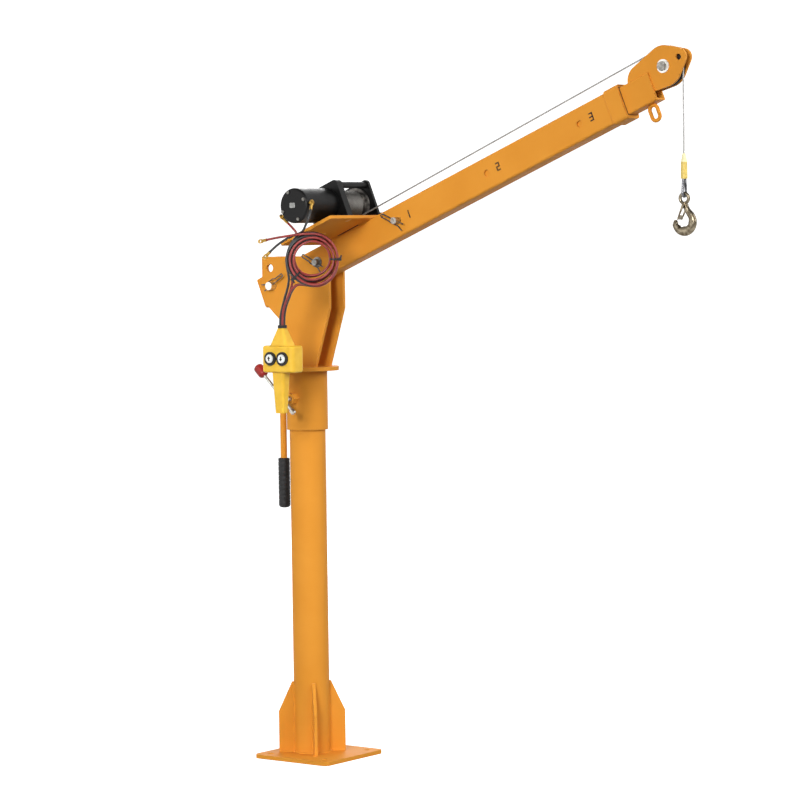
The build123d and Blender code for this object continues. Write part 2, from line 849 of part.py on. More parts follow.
with BuildPart() as motor_end_cap:
    with BuildSketch(side_at(motor_far)):
        with Locations(motor_place):
            Circle(motor_dia / 2)
    extrude(amount=motor_cap_length)
    fillet(motor_end_cap.edges().group_by(Axis.Y)[0], radius=motor_cap_round)
    with BuildSketch(side_at(motor_far)):
        with Locations(motor_place):
            Circle(armature_shaft_dia / 2 + pin_fit)
    extrude(amount=armature_seat, mode=Mode.SUBTRACT)
save(motor_end_cap, "motor_end_cap")

with BuildPart() as motor_armature:
    with BuildSketch(side_at(motor_near + armature_seat)):
        with Locations(motor_place):
            Circle(armature_shaft_dia / 2)
    extrude(amount=motor_length + 2 * armature_seat)
    with BuildSketch(side_at(motor_near - (motor_length - armature_length) / 2)):
        with Locations(motor_place):
            Circle(armature_dia / 2)
    extrude(amount=armature_length)
save(motor_armature, "motor_armature")


def stud_plane(angle, y, distance):
    """Plane across a motor stud at a distance from the motor axis; its local X runs around the motor."""
    out = Vector(math.cos(math.radians(angle)), 0, math.sin(math.radians(angle)))
    around = Vector(-out.Z, 0, out.X)
    centre = Vector(motor_axis.X, y, motor_axis.Z)
    return Plane(origin=centre + out * distance, x_dir=around, z_dir=out)


red_stud_y = motor_far - red_stud_past
black_stud_y = motor_far - black_stud_past
lug_height = motor_dia / 2 + stud_out / 2


def lug_direction(plane, way, lean):
    """Direction of a lug's barrel: around the motor one way or the other, leaning to the motor's end."""
    tilt = math.radians(lean)
    return plane.x_dir * (way * math.cos(tilt)) + Vector(0, -math.sin(tilt), 0)


red_lug = stud_plane(red_stud_angle, red_stud_y, lug_height + lug_ring_thick / 2)
red_lug_dir = lug_direction(red_lug, 1, red_lug_lean)
red_lead_start = red_lug.origin + red_lug_dir * (lug_ring_dia / 2 + lug_barrel_length)
black_lug = stud_plane(black_stud_angle, black_stud_y, lug_height + lug_ring_thick / 2)
black_lug_dir = lug_direction(black_lug, -1, black_lug_lean)
black_lead_start = black_lug.origin + black_lug_dir * (lug_ring_dia / 2 + lug_barrel_length)

with BuildPart() as motor_terminals:
    for angle, y in ((red_stud_angle, red_stud_y), (black_stud_angle, black_stud_y)):
        with BuildSketch(stud_plane(angle, y, motor_dia / 2 - motor_wall / 2)):
            Circle(stud_dia / 2)
        extrude(amount=stud_out + motor_wall / 2)
    with BuildSketch(side_at(motor_near)):
        with Locations(motor_place):
            Circle(motor_dia / 2)
    extrude(amount=motor_length + motor_cap_length, mode=Mode.SUBTRACT)
    for lug, lug_dir in ((red_lug, red_lug_dir), (black_lug, black_lug_dir)):
        with BuildSketch(lug):
            Circle(lug_ring_dia / 2)
        extrude(amount=lug_ring_thick / 2, both=True)
        with BuildSketch(Plane(origin=lug.origin, z_dir=lug_dir)):
            Circle(lug_barrel_dia / 2)
        extrude(amount=lug_ring_dia / 2 + lug_barrel_length)
save(motor_terminals, "motor_terminals")

# Drum with the outer layer of rope
with BuildPart() as winch_drum:
    with BuildSketch(boom_at(far_frame_face + far_frame_thick)):
        with Locations((winch_u, winch_v)):
            Circle(drum_shaft_dia / 2)
    extrude(amount=far_frame_face + far_frame_thick + near_frame_face + drum_shaft_depth)
    with BuildSketch(boom_at(drum_far)):
        with Locations((winch_u, winch_v)):
            Circle(drum_core_radius)
    extrude(amount=drum_far - drum_near)
    for flange_face in (drum_far, drum_near + drum_flange_thick):
        with BuildSketch(boom_at(flange_face)):
            with Locations((winch_u, winch_v)):
                Circle(drum_flange_dia / 2)
        extrude(amount=drum_flange_thick)
save(winch_drum, "winch_drum")

# Rope line from the underside of the drum to the top of the sheave, in boom length and height
span_u = sheave_u - winch_u
span_v = sheave_v - winch_v
span = math.hypot(span_u, span_v)
rope_slope = math.asin((rope_layer_radius + sheave_pitch) / span) + math.atan2(span_v, span_u)
rope_dir = Vector(math.cos(rope_slope), math.sin(rope_slope))
rope_normal = Vector(-rope_dir.Y, rope_dir.X)
drum_touch = Vector(winch_u, winch_v) - rope_normal * rope_layer_radius
sheave_touch = Vector(sheave_u, sheave_v) + rope_normal * sheave_pitch


def winding_point(turn):
    """Point and direction on the rope layer, counted in turns back from where the rope leaves the drum."""
    start = math.atan2(-rope_normal.Y, -rope_normal.X)
    angle = start - 2 * math.pi * turn
    u = winch_u + rope_layer_radius * math.cos(angle)
    v = winch_v + rope_layer_radius * math.sin(angle)
    around = boom_x_dir * -math.sin(angle) + boom_v_dir * math.cos(angle)
    along = Vector(0, rope_pitch / (2 * math.pi * rope_layer_radius), 0)
    return boom_point(u, v, -rope_pitch * turn), (around + along).normalized()


def biarc(first, first_dir, last, last_dir):
    """Two tangent arcs between two points with given directions, added to the line that is being built."""
    chord = last - first
    lean = chord.dot(first_dir + last_dir)
    square = 2 * (first_dir.dot(last_dir) - 1)
    size = (lean - math.sqrt(lean * lean - square * chord.dot(chord))) / square
    near = first + first_dir * size
    far = last - last_dir * size
    middle = (near + far) * 0.5
    TangentArc(first, middle, tangent=first_dir)
    TangentArc(middle, last, tangent=(far - near).normalized())


def least_gap(points, dia, skip):
    """Smallest clear distance between stretches of one wound tube, measured on points along it."""
    gap = math.inf
    for here in range(len(points)):
        for there in range(here + skip, len(points)):
            gap = min(gap, (points[here] - points[there]).length - dia)
    return gap


def volume_share(piece, dia, line):
    """A tube's volume over its section times its length, which is 1 for a sound tube."""
    length = sum(edge.length for edge in line.edges())
    return round(piece.part.volume / (math.pi * dia**2 / 4 * length), 4)


half_turns = [winding_point(half / 2) for half in range(2 * rope_turns, -1, -1)]
with BuildPart() as rope_winding:
    with BuildLine() as layer:
        for (first, first_dir), (last, last_dir) in zip(half_turns, half_turns[1:]):
            biarc(first, first_dir, last, last_dir)
    with BuildSketch(Plane(origin=layer.line @ 0, z_dir=layer.line % 0)):
        Circle(rope_dia / 2)
    sweep()
save(rope_winding, "rope_winding")
samples = [winding_point(step / turn_samples)[0] for step in range(turn_samples * rope_turns)]
print("rope layer least gap", round(least_gap(samples, rope_dia, turn_samples // 2), 2))
print("rope layer volume share", volume_share(rope_winding, rope_dia, layer))

# Rope from the drum to the head
with BuildPart() as rope_run:
    run_start = boom_point(drum_touch.X, drum_touch.Y, 0)
    run_end = boom_point(sheave_touch.X, sheave_touch.Y, 0)
    with BuildSketch(Plane(origin=run_start, z_dir=run_end - run_start)):
        Circle(rope_dia / 2)
    extrude(amount=(run_end - run_start).length)
save(rope_run, "rope_run")

# Inner boom tube and the head that it carries
mouth_start = inner_nose - mouth_length
with BuildPart() as inner_boom_tube:
    with BuildSketch(boom_section(stop_first - inner_behind_pin)):
        RectangleRounded(inner_width, inner_height, inner_round)
        Rectangle(cavity_width, cavity_height, mode=Mode.SUBTRACT)
    extrude(amount=inner_nose - stop_first + inner_behind_pin)
    with BuildSketch(boom_section(mouth_start)):
        with Locations((0, inner_height / 2)):
            Rectangle(cavity_width, inner_height)
    extrude(amount=mouth_length, mode=Mode.SUBTRACT)
    slot_end = stop_first - inner_behind_pin
    with BuildSketch(boom_at(0)):
        with Locations((stop_first, 0)):
            Circle(stop_dia / 2 + slot_gap)
        with Locations(((stop_first + slot_end) / 2, 0)):
            Rectangle(stop_first - slot_end, stop_dia + 2 * slot_gap)
    extrude(amount=inner_width, both=True, mode=Mode.SUBTRACT)
save(inner_boom_tube, "inner_boom_tube")

with BuildPart() as head_cheeks:
    for outer_face in (cheek_outer, -(cheek_outer - cheek_thick)):
        with BuildSketch(boom_at(outer_face)):
            with Locations((sheave_u, sheave_v)):
                Circle(sheave_rim + cheek_margin)
            with Locations((guard_u, guard_v)):
                Circle(guard_round)
            with Locations((root_u, root_v)):
                Circle(root_round)
            make_hull()
            with Locations((sheave_u, sheave_v)):
                Circle(sheave_bolt_dia / 2 + bolt_gap, mode=Mode.SUBTRACT)
            with Locations((guard_u, guard_v)):
                Circle(guard_hole_dia / 2, mode=Mode.SUBTRACT)
        extrude(amount=cheek_thick)
save(head_cheeks, "head_cheeks")

head_stack = cheek_outer + head_washer_thick
with BuildPart() as head_bolt:
    for washer_face in (head_stack, -cheek_outer):
        with BuildSketch(boom_at(washer_face)):
            with Locations((sheave_u, sheave_v)):
                Circle(head_washer_dia / 2)
        extrude(amount=head_washer_thick)
    for nut_face in (head_stack + head_nut_thick, -head_stack):
        with BuildSketch(boom_at(nut_face)):
            with Locations((sheave_u, sheave_v)):
                RegularPolygon(head_nut_across / 2, 6, major_radius=False)
        extrude(amount=head_nut_thick)
    with BuildSketch(boom_at(head_stack)):
        with Locations((sheave_u, sheave_v)):
            Circle(sheave_bolt_dia / 2)
    extrude(amount=2 * head_stack)
save(head_bolt, "head_bolt")

eye_bend = (eye_inner_width + eye_rod) / 2
eye_straight = eye_inner_height - eye_inner_width
eye_top = -inner_height / 2 + eye_weld
eye_v = eye_top - eye_rod - eye_inner_height / 2
with BuildPart() as anchor_eye:
    with BuildLine(boom_at(0)) as ring:
        low = eye_v - eye_straight / 2
        high = eye_v + eye_straight / 2
        Line((eye_u - eye_bend, high), (eye_u - eye_bend, low))
        JernArc(start=(eye_u - eye_bend, low), tangent=(0, -1), radius=eye_bend, arc_size=180)
        Line((eye_u + eye_bend, low), (eye_u + eye_bend, high))
        JernArc(start=(eye_u + eye_bend, high), tangent=(0, 1), radius=eye_bend, arc_size=180)
    with BuildSketch(Plane(origin=ring.line @ 0, z_dir=ring.line % 0)):
        Circle(eye_rod / 2)
    sweep()
    with BuildSketch(deck_plane(-inner_height / 2)):
        with Locations((eye_u, 0)):
            Rectangle(4 * eye_bend, 4 * eye_bend)
    extrude(amount=eye_rod, mode=Mode.SUBTRACT)
save(anchor_eye, "anchor_eye")

with BuildPart() as sheave_wheel:
    with BuildSketch(boom_at(sheave_width / 2)):
        with Locations((sheave_u, sheave_v)):
            Circle(sheave_rim)
            Circle(sheave_bolt_dia / 2 + pin_fit, mode=Mode.SUBTRACT)
    extrude(amount=sheave_width)
    groove_plane = Plane(origin=boom_point(sheave_u, sheave_v, 0), x_dir=boom_x_dir, z_dir=boom_v_dir)
    with BuildSketch(groove_plane):
        with Locations((sheave_pitch, 0)):
            Circle(rope_dia / 2 + rope_seat_gap)
        with Locations((sheave_pitch + sheave_rim / 2, 0)):
            Rectangle(sheave_rim, rope_dia + 2 * rope_seat_gap)
    revolve(axis=Axis(groove_plane.origin, (0, 1, 0)), mode=Mode.SUBTRACT)
save(sheave_wheel, "sheave_wheel")

# Rope over the sheave and down to the hook
sheave_centre = boom_point(sheave_u, sheave_v, 0)
drop_x = sheave_centre.X + sheave_pitch
drop_top = sheave_centre.Z
wrap_angle = 90 + boom_angle + math.degrees(rope_slope)

with BuildPart() as rope_wrap:
    with BuildLine(Plane.XZ) as over_sheave:
        CenterArc((sheave_centre.X, sheave_centre.Z), sheave_pitch, 0, wrap_angle)
    with BuildSketch(Plane(origin=over_sheave.line @ 0, z_dir=over_sheave.line % 0)):
        Circle(rope_dia / 2)
    sweep()
save(rope_wrap, "rope_wrap")

rope_sleeve_z = drop_top - sleeve_top_below_sheave
with BuildPart() as rope_drop:
    with BuildSketch(Plane.XY.offset(rope_sleeve_z)):
        with Locations((drop_x, 0)):
            Circle(rope_dia / 2)
    extrude(amount=sleeve_top_below_sheave)
save(rope_drop, "rope_drop")

sleeve_foot_z = rope_sleeve_z - rope_sleeve_length
with BuildPart() as rope_sleeve:
    with BuildSketch(side_at(0)):
        with BuildLine():
            Polyline(
                (drop_x, rope_sleeve_z),
                (drop_x + rope_sleeve_top / 2, rope_sleeve_z),
                (drop_x + rope_sleeve_dia / 2, rope_sleeve_z - rope_sleeve_cone),
                (drop_x + rope_sleeve_foot / 2, sleeve_foot_z),
                (drop_x, sleeve_foot_z),
                close=True,
            )
        make_face()
    revolve(axis=Axis((drop_x, 0, 0), (0, 0, 1)))
save(rope_sleeve, "rope_sleeve")

# Rope eye with its thimble, looped through the eye of the hook
thimble_bend = hook_eye_wire / 2 + thimble_gap + thimble_dia / 2
thimble_z = sleeve_foot_z - thimble_leg
across_plane = Plane(origin=(drop_x, 0, 0), x_dir=(0, 1, 0), z_dir=(1, 0, 0))
neck_length = math.hypot(thimble_neck, thimble_leg)
leg_turn = math.atan2(thimble_leg, -thimble_neck) + math.acos(thimble_bend / neck_length)
leg_y = thimble_bend * math.cos(leg_turn)
leg_z = thimble_z + thimble_bend * math.sin(leg_turn)
neck_y = thimble_neck + thimble_dia * (leg_y + thimble_neck) / (thimble_leg + thimble_z - leg_z)
bend_size = 360 - 2 * (math.degrees(leg_turn) - 90)
with BuildPart() as thimble:
    with BuildLine(across_plane) as loop:
        Line((-neck_y, sleeve_foot_z + thimble_dia), (leg_y, leg_z))
        CenterArc((0, thimble_z), thimble_bend, math.degrees(leg_turn), bend_size)
        Line((-leg_y, leg_z), (neck_y, sleeve_foot_z + thimble_dia))
    with BuildSketch(Plane(origin=loop.line @ 0, z_dir=loop.line % 0)):
        Circle(thimble_dia / 2)
    sweep()
    split(bisect_by=Plane.XY.offset(sleeve_foot_z), keep=Keep.BOTTOM)
save(thimble, "thimble")

hook_eye_z = thimble_z - hook_eye_ring
bowl_z = hook_eye_z - hook_drop
shank_start = math.radians(hook_shank_turn)
bowl_start = (drop_x + hook_bowl * math.cos(shank_start), bowl_z + hook_bowl * math.sin(shank_start))
shank_dir = (-math.sin(shank_start), math.cos(shank_start))
with BuildPart() as hook:
    with BuildLine(side_at(0)) as shank:
        TangentArc(bowl_start, (drop_x, hook_eye_z - hook_eye_ring), tangent=shank_dir)
    with BuildSketch(Plane(origin=shank.line @ 0, z_dir=shank.line % 0)):
        Circle(hook_wire / 2)
    sweep()
    with BuildLine(side_at(0)) as bowl:
        CenterArc((drop_x, bowl_z), hook_bowl, hook_shank_turn, -(hook_shank_turn + hook_tip_turn))
    with BuildSketch(Plane(origin=bowl.line @ 0, z_dir=bowl.line % 0)):
        Circle(hook_wire / 2)
    sweep()
    hook_tip = bowl.line @ 1
    latch_pin = shank.line @ latch_pin_along
    with Locations(hook_tip):
        Sphere(hook_wire / 2)
    with Locations((drop_x, 0, hook_eye_z)):
        Torus(hook_eye_ring, hook_eye_wire / 2, rotation=(90, 0, 0))
    with BuildSketch(side_at(hook_wire)):
        with Locations((latch_pin.X, latch_pin.Z)):
            Circle(latch_pin_dia / 2 + pin_fit)
    extrude(amount=2 * hook_wire, mode=Mode.SUBTRACT)
save(hook, "hook")

# Spring latch across the mouth of the hook
latch_end = hook_tip + Vector(hook_wire / 2 + latch_seat_gap + latch_thick / 2, 0, 0)
latch_dir = (latch_pin - latch_end).normalized()
latch_lean = math.degrees(math.atan2(latch_dir.Z, latch_dir.X))
lip_middle = latch_end + latch_dir * (latch_lip / 2)
ear_inner = hook_wire / 2 + latch_seat_gap
with BuildPart() as hook_latch:
    for ear_face in (ear_inner + latch_ear, -ear_inner):
        with BuildSketch(side_at(ear_face)):
            with Locations((latch_pin.X, latch_pin.Z)):
                Circle(latch_pin_dia)
            with Locations((latch_end.X, latch_end.Z)):
                Circle(latch_thick / 2)
            make_hull()
        extrude(amount=latch_ear)
    with BuildSketch(side_at(ear_inner)):
        with Locations((lip_middle.X, lip_middle.Z)):
            Rectangle(latch_lip, latch_thick, rotation=latch_lean)
    extrude(amount=2 * ear_inner)
    with BuildSketch(side_at(ear_inner)):
        with Locations((latch_pin.X, latch_pin.Z)):
            Circle(latch_pin_dia / 2)
    extrude(amount=2 * ear_inner)
save(hook_latch, "hook_latch")

# Hand control and cable coil, hung from the motor
coil_centre = Vector(motor_axis.X + coil_ahead, motor_far + coil_inset, motor_axis.Z - coil_below)
coil_right = Vector(math.cos(math.radians(coil_azimuth)), math.sin(math.radians(coil_azimuth)), 0)
coil_front = Vector(coil_right.Y, -coil_right.X, 0)
control_x = coil_centre.X - control_behind_coil
control_y = coil_centre.Y
control_top = coil_centre.Z - control_below_coil
shoulder_z = control_top - control_shoulder_length
head_foot = shoulder_z - control_head_height
grip_foot = head_foot - control_grip_length
control_face = control_y - control_head_depth / 2
button_z = shoulder_z - button_drop
button_places = [(control_x - button_spacing / 2, button_z), (control_x + button_spacing / 2, button_z)]


def control_level(z):
    """Level plane centred on the hand control."""
    return Plane.XY.offset(z).shift_origin((control_x, control_y, z))


def add_control_form():
    """Head, tapered neck and hand grip of the control, added to the shell that is being built."""
    with BuildSketch(control_level(head_foot)) as head:
        RectangleRounded(control_head_width, control_head_depth, control_head_round)
    block = extrude(head.sketch, amount=control_head_height)
    rims = block.faces().sort_by(Axis.Z)
    fillet(rims[0].edges() + rims[-1].edges(), radius=control_head_edge)
    with BuildSketch(control_level(shoulder_z)) as neck_foot:
        RectangleRounded(control_shoulder_width, control_shoulder_depth, control_neck_round)
    with BuildSketch(control_level(control_top)) as neck_top:
        RectangleRounded(control_neck, control_neck, control_neck_round / 2)
    loft([neck_foot.sketch, neck_top.sketch])
    grip_place = (-control_grip_shift, 0)
    with BuildSketch(control_level(head_foot)) as grip_upper:
        with Locations(grip_place):
            RectangleRounded(control_grip_width, control_grip_depth, control_neck_round)
    with BuildSketch(control_level(grip_foot)) as grip_lower:
        taper = control_grip_foot
        with Locations(grip_place):
            RectangleRounded(
                control_grip_width * taper,
                control_grip_depth * taper,
                control_neck_round * taper,
            )
    loft([grip_upper.sketch, grip_lower.sketch])
    with BuildSketch(control_level(head_foot + control_wall)) as hollow:
        RectangleRounded(
            control_head_width - 2 * control_wall,
            control_head_depth - 2 * control_wall,
            control_head_round - control_wall,
        )
    extrude(hollow.sketch, amount=control_head_height - 2 * control_wall, mode=Mode.SUBTRACT)


with BuildPart() as control_front:
    add_control_form()
    with BuildSketch(side_at(control_y)):
        with Locations(*button_places):
            Circle(button_dia / 2 + button_gap)
    extrude(amount=control_head_depth, mode=Mode.SUBTRACT)
    split(bisect_by=side_at(control_y), keep=Keep.TOP)
save(control_front, "control_front")

with BuildPart() as control_back:
    add_control_form()
    split(bisect_by=side_at(control_y), keep=Keep.BOTTOM)
save(control_back, "control_back")

gland_top = control_top + control_gland_length
with BuildPart() as control_gland:
    with BuildSketch(control_level(control_top)):
        Circle(control_gland_dia / 2)
    extrude(amount=control_gland_length)
save(control_gland, "control_gland")

with BuildPart() as button_bezels:
    with BuildSketch(side_at(control_face)):
        with Locations(*button_places):
            Circle(bezel_dia / 2)
            Circle(button_dia / 2 + button_gap, mode=Mode.SUBTRACT)
    extrude(amount=bezel_out)
save(button_bezels, "button_bezels")

with BuildPart() as up_button:
    with BuildSketch(side_at(control_face - button_out + button_depth)):
        with Locations(button_places[0]):
            Circle(button_dia / 2)
    extrude(amount=button_depth)
    fillet(up_button.edges().group_by(Axis.Y)[0], radius=button_round)
save(up_button, "up_button")

with BuildPart() as down_button:
    with BuildSketch(side_at(control_face - button_out + button_depth)):
        with Locations(button_places[1]):
            Circle(button_dia / 2)
    extrude(amount=button_depth)
    fillet(down_button.edges().group_by(Axis.Y)[0], radius=button_round)
save(down_button, "down_button")

# Cable coil, seen face on from the coil azimuth: two wires, each wound in and out again
half_step = cable_step / 2
coil_climb = coil_half_turns // 2
tie_in = (half_step * (coil_climb + 1) + coil_tuck) / 2
tie_reach = tie_in + cable_dia / 2 + tie_gap
coil_levels = []
for half in range(coil_half_turns + 1):
    shrink = half_step * half
    if half in (coil_climb, coil_climb + 1):
        shrink = shrink + coil_tuck
    if half > coil_climb + 1:
        shrink = half_step * (coil_half_turns - half)
    coil_levels.append((coil_radius - shrink) * (1 if half % 2 == 0 else -1))


def coil_point(level, layer_offset):
    """Point above or below the coil's centre, at an offset along the coil's axis."""
    return coil_centre + Vector(0, 0, level) + coil_front * layer_offset


def coil_line(layer_in, layer_out):
    """Straight lead-in, half turns in, one that climbs to the other layer, half turns out, lead-out."""
    first = coil_point(coil_levels[0], layer_in)
    heading = coil_right
    pieces = [(first - heading * cable_dia, first, None)]
    for half in range(coil_half_turns):
        layer_here = layer_in if half <= coil_climb else layer_out
        layer_next = layer_in if half < coil_climb else layer_out
        begin = coil_point(coil_levels[half], layer_here)
        finish = coil_point(coil_levels[half + 1], layer_next)
        pieces.append((begin, finish, heading))
        heading = heading * -1
    pieces.append((finish, finish + heading * cable_dia, None))
    return pieces


def draw_coil(pieces):
    """Add a coil's straight ends and half circles to the line that is being built."""
    for begin, finish, heading in pieces:
        if heading is None:
            Line(begin, finish)
        else:
            TangentArc(begin, finish, tangent=heading)


def measure_coil(name, piece, line):
    """Print a coil's least gap to itself and its volume share."""
    count = half_turn_samples * coil_half_turns
    wire = line.wires()[0]
    points = [wire @ (step / count) for step in range(count + 1)]
    print(name, "least gap", round(least_gap(points, cable_dia, half_turn_samples // 2), 2))
    print(name, "volume share", volume_share(piece, cable_dia, line))


red_layers = (1.5 * cable_step, -0.5 * cable_step)
black_layers = (0.5 * cable_step, -1.5 * cable_step)
red_path = coil_line(*red_layers)
black_path = coil_line(*black_layers)

with BuildPart() as red_coil:
    with BuildLine() as red_turns:
        draw_coil(red_path)
    with BuildSketch(Plane(origin=red_path[0][0], z_dir=coil_right)):
        Circle(cable_dia / 2)
    sweep()
save(red_coil, "red_coil")
measure_coil("red coil", red_coil, red_turns)

with BuildPart() as black_coil:
    with BuildLine() as black_turns:
        draw_coil(black_path)
    with BuildSketch(Plane(origin=black_path[0][0], z_dir=coil_right)):
        Circle(cable_dia / 2)
    sweep()
save(black_coil, "black_coil")
measure_coil("black coil", black_coil, black_turns)
print("between the coils", round(red_coil.part.distance_to(black_coil.part), 2))

with BuildPart() as cable_ties:
    for angle in tie_angles:
        out = coil_right * math.cos(math.radians(angle)) + Vector(0, 0, math.sin(math.radians(angle)))
        middle = coil_centre + out * (coil_radius - tie_in)
        around = out.cross(coil_front)
        with BuildSketch(Plane(origin=middle, x_dir=out, z_dir=around)):
            inner_x = 2 * tie_reach
            inner_y = 4 * cable_step + 2 * tie_gap
            RectangleRounded(inner_x + 2 * tie_thick, inner_y + 2 * tie_thick, tie_thick * 2)
            RectangleRounded(inner_x, inner_y, tie_thick, mode=Mode.SUBTRACT)
        extrude(amount=tie_width / 2, both=True)
save(cable_ties, "cable_ties")


def cord_radii(points):
    """Bend radius at each inner point of a cord: as large as its two runs allow."""
    radii = []
    for before, here, after in zip(points, points[1:], points[2:]):
        turn = math.radians((here - before).get_angle(after - here))
        run = min((here - before).length, (after - here).length)
        radii.append(cord_bend_share * run / math.tan(turn / 2))
    return radii


def draw_cord(name, points):
    """Add a cord's route to the line that is being built and print its bend radii."""
    radii = cord_radii(points)
    print(name, "radii", [round(radius) for radius in radii])
    FilletPolyline(*points, radius=radii)


entry = {"red": red_path[0][0], "black": black_path[0][0]}
leave = {"red": red_path[-1][1], "black": black_path[-1][1]}
gland_near = control_y - gland_spacing / 2
gland_far = control_y + gland_spacing / 2
gland_left = control_x - gland_spacing / 2
gland_right = control_x + gland_spacing / 2


def coil_via(places):
    """World points from places in the coil's own directions."""
    return [
        coil_centre + coil_right * right + coil_front * front + Vector(0, 0, up)
        for right, front, up in places
    ]


def gland_end(x, y):
    """Last two points of a cable that goes straight down into the control's gland."""
    return [Vector(x, y, gland_top + gland_rise), Vector(x, y, gland_top)]


red_lead_route = [entry["red"], entry["red"] - coil_right * lead_first_run] + coil_via(red_lead_via)
black_lead_route = [entry["black"], entry["black"] - coil_right * lead_first_run] + coil_via(black_lead_via)
red_drop_route = [leave["red"], leave["red"] - coil_right * red_drop_first_run]
red_drop_route += coil_via(red_drop_via) + gland_end(gland_right, gland_near)
black_drop_route = [leave["black"], leave["black"] - coil_right * black_drop_first_run]
black_drop_route += coil_via(black_drop_via) + gland_end(gland_right, gland_far)
motor_red_route = [red_lead_start, red_lead_start + red_lug_dir * motor_first_run]
motor_red_route += coil_via(motor_red_via) + gland_end(gland_left, gland_far)
motor_black_route = [black_lead_start, black_lead_start + black_lug_dir * motor_first_run]
motor_black_route += coil_via(motor_black_via) + gland_end(gland_left, gland_near)


def cord_tube(name, route):
    """One cord stretch: a tube along its route, with its volume share printed."""
    with BuildPart() as cord:
        with BuildLine() as line:
            draw_cord(name, route)
        with BuildSketch(Plane(origin=line.line @ 0, z_dir=line.line % 0)):
            Circle(cable_dia / 2)
        sweep()
    print(name, "volume share", volume_share(cord, cable_dia, line))
    save(cord, name)


cord_tube("red_lead", red_lead_route)
cord_tube("black_lead", black_lead_route)
cord_tube("red_drop", red_drop_route)
cord_tube("black_drop", black_drop_route)
cord_tube("motor_red_lead", motor_red_route)
cord_tube("motor_black_lead", motor_black_route)

with BuildPart() as battery_lugs:
    for route in (red_lead_route, black_lead_route):
        lug_dir = (route[-1] - route[-2]).normalized()
        with BuildSketch(Plane(origin=route[-1], z_dir=lug_dir)):
            Circle(lug_barrel_dia / 2)
        extrude(amount=lug_barrel_length)
        lug_side = Vector(0, -1, 0)
        tongue = Plane(origin=route[-1] + lug_dir * lug_barrel_length, x_dir=lug_dir, z_dir=lug_side)
        with BuildSketch(tongue):
            with Locations(((lug_tongue_length - lug_tongue_sunk) / 2, 0)):
                SlotOverall(lug_tongue_length + lug_tongue_sunk, lug_tongue_width)
            with Locations((lug_tongue_length / 2, 0)):
                Circle(lug_hole_dia / 2, mode=Mode.SUBTRACT)
        extrude(amount=lug_tongue_thick / 2, both=True)
save(battery_lugs, "battery_lugs")
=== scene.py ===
import json
import math

import bmesh
import bpy
from mathutils import Matrix, Vector, noise


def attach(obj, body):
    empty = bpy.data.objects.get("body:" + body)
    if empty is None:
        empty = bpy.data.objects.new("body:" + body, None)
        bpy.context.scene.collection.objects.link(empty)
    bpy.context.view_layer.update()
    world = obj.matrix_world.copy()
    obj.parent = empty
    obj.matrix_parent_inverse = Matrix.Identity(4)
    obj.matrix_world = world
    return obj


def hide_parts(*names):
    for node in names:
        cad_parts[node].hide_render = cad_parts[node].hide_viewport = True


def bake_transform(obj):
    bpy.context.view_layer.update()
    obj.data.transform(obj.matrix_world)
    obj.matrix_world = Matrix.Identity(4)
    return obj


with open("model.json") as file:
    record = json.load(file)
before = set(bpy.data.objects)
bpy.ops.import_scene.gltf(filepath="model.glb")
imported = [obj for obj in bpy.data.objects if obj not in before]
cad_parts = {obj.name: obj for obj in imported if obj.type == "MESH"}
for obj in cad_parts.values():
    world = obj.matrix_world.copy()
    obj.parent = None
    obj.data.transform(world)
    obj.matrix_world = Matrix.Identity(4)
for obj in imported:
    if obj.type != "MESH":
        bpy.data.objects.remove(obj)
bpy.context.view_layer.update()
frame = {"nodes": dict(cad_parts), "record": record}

scene = bpy.context.scene
nodes = frame["nodes"]

# Millimetres in a metre
METRE = 1000.0

# Sizes in millimetres, most of them repeated from the part's source, and angles
PIVOT = Vector((66.0, 0.0, 1227.5))
BOOM_ANGLE = math.radians(22.2)
ALONG = Vector((math.cos(BOOM_ANGLE), 0.0, math.sin(BOOM_ANGLE)))
ABOVE = Vector((-ALONG.z, 0.0, ALONG.x))
UP = Vector((0.0, 0.0, 1.0))
WINCH = (131.0, 95.0)
SHEAVE = (1082.0, 30.0)
ROPE_DIA = 4.0
ROPE_PITCH = 4.5
ROPE_TURNS = 16
DRUM_PITCH = 34.0
SHEAVE_PITCH = 44.0
DROP_LENGTH = 197.0
CABLE_DIA = 5.8
CABLE_STEP = 6.4
STUD_REACH = 49.5
LUG_LENGTH = 19.0
LUG_STRAIGHT = 20.0
COIL_RADIUS = 60.0
COIL_HALVES = 9
COIL_CLIMB = 4
COIL_TUCK = 2.0
COIL_LEAD_OUT = 22.0
TIE_ANGLES = (0.0, -135.0)
COIL_AZIMUTH = math.radians(37.0)
COIL_RIGHT = Vector((math.cos(COIL_AZIMUTH), math.sin(COIL_AZIMUTH), 0.0))
COIL_FRONT = Vector((COIL_RIGHT.y, -COIL_RIGHT.x, 0.0))
HOOK_BOWL = 23.5
HOOK_WIRE = 16.0
HOOK_DROP = 54.0
HOOK_SHANK_TURN = math.radians(42.0)
HOOK_TIP_TURN = math.radians(196.0)
EYE_RING = 11.0
EYE_WIRE = 8.0
COLUMN = 44.5
PLATE_TOP = 10.0
GUSSET_HALF = 4.0
GUSSET_CORNERS = (45.0, 135.0, 225.0, 315.0)
GUSSET_WELD_RISE = 172.0
GUSSET_WELD_REACH = 37.0
SLEEVE_RADIUS = 51.0
FLANGE_UNDER = 960.0
HANDLE_Z = 868.0
GRIP_FOOT = 616.0
BOOM_SIDE = 23.0
BOOM_TOP = 38.0
COLLAR_U = 915.0
COLLAR_WELD = (32.0, 17.0)
NOSE_U = 957.0
NOSE_SEAM = (33.8, 18.8)
BUTTON_Z = 999.0
UP_BUTTON_X = 69.5
DOWN_BUTTON_X = 106.5
BUTTON_FACE_Y = -231.02
MOTOR_END_Y = -229.0
MOTOR_SCREW_Y = -200.0
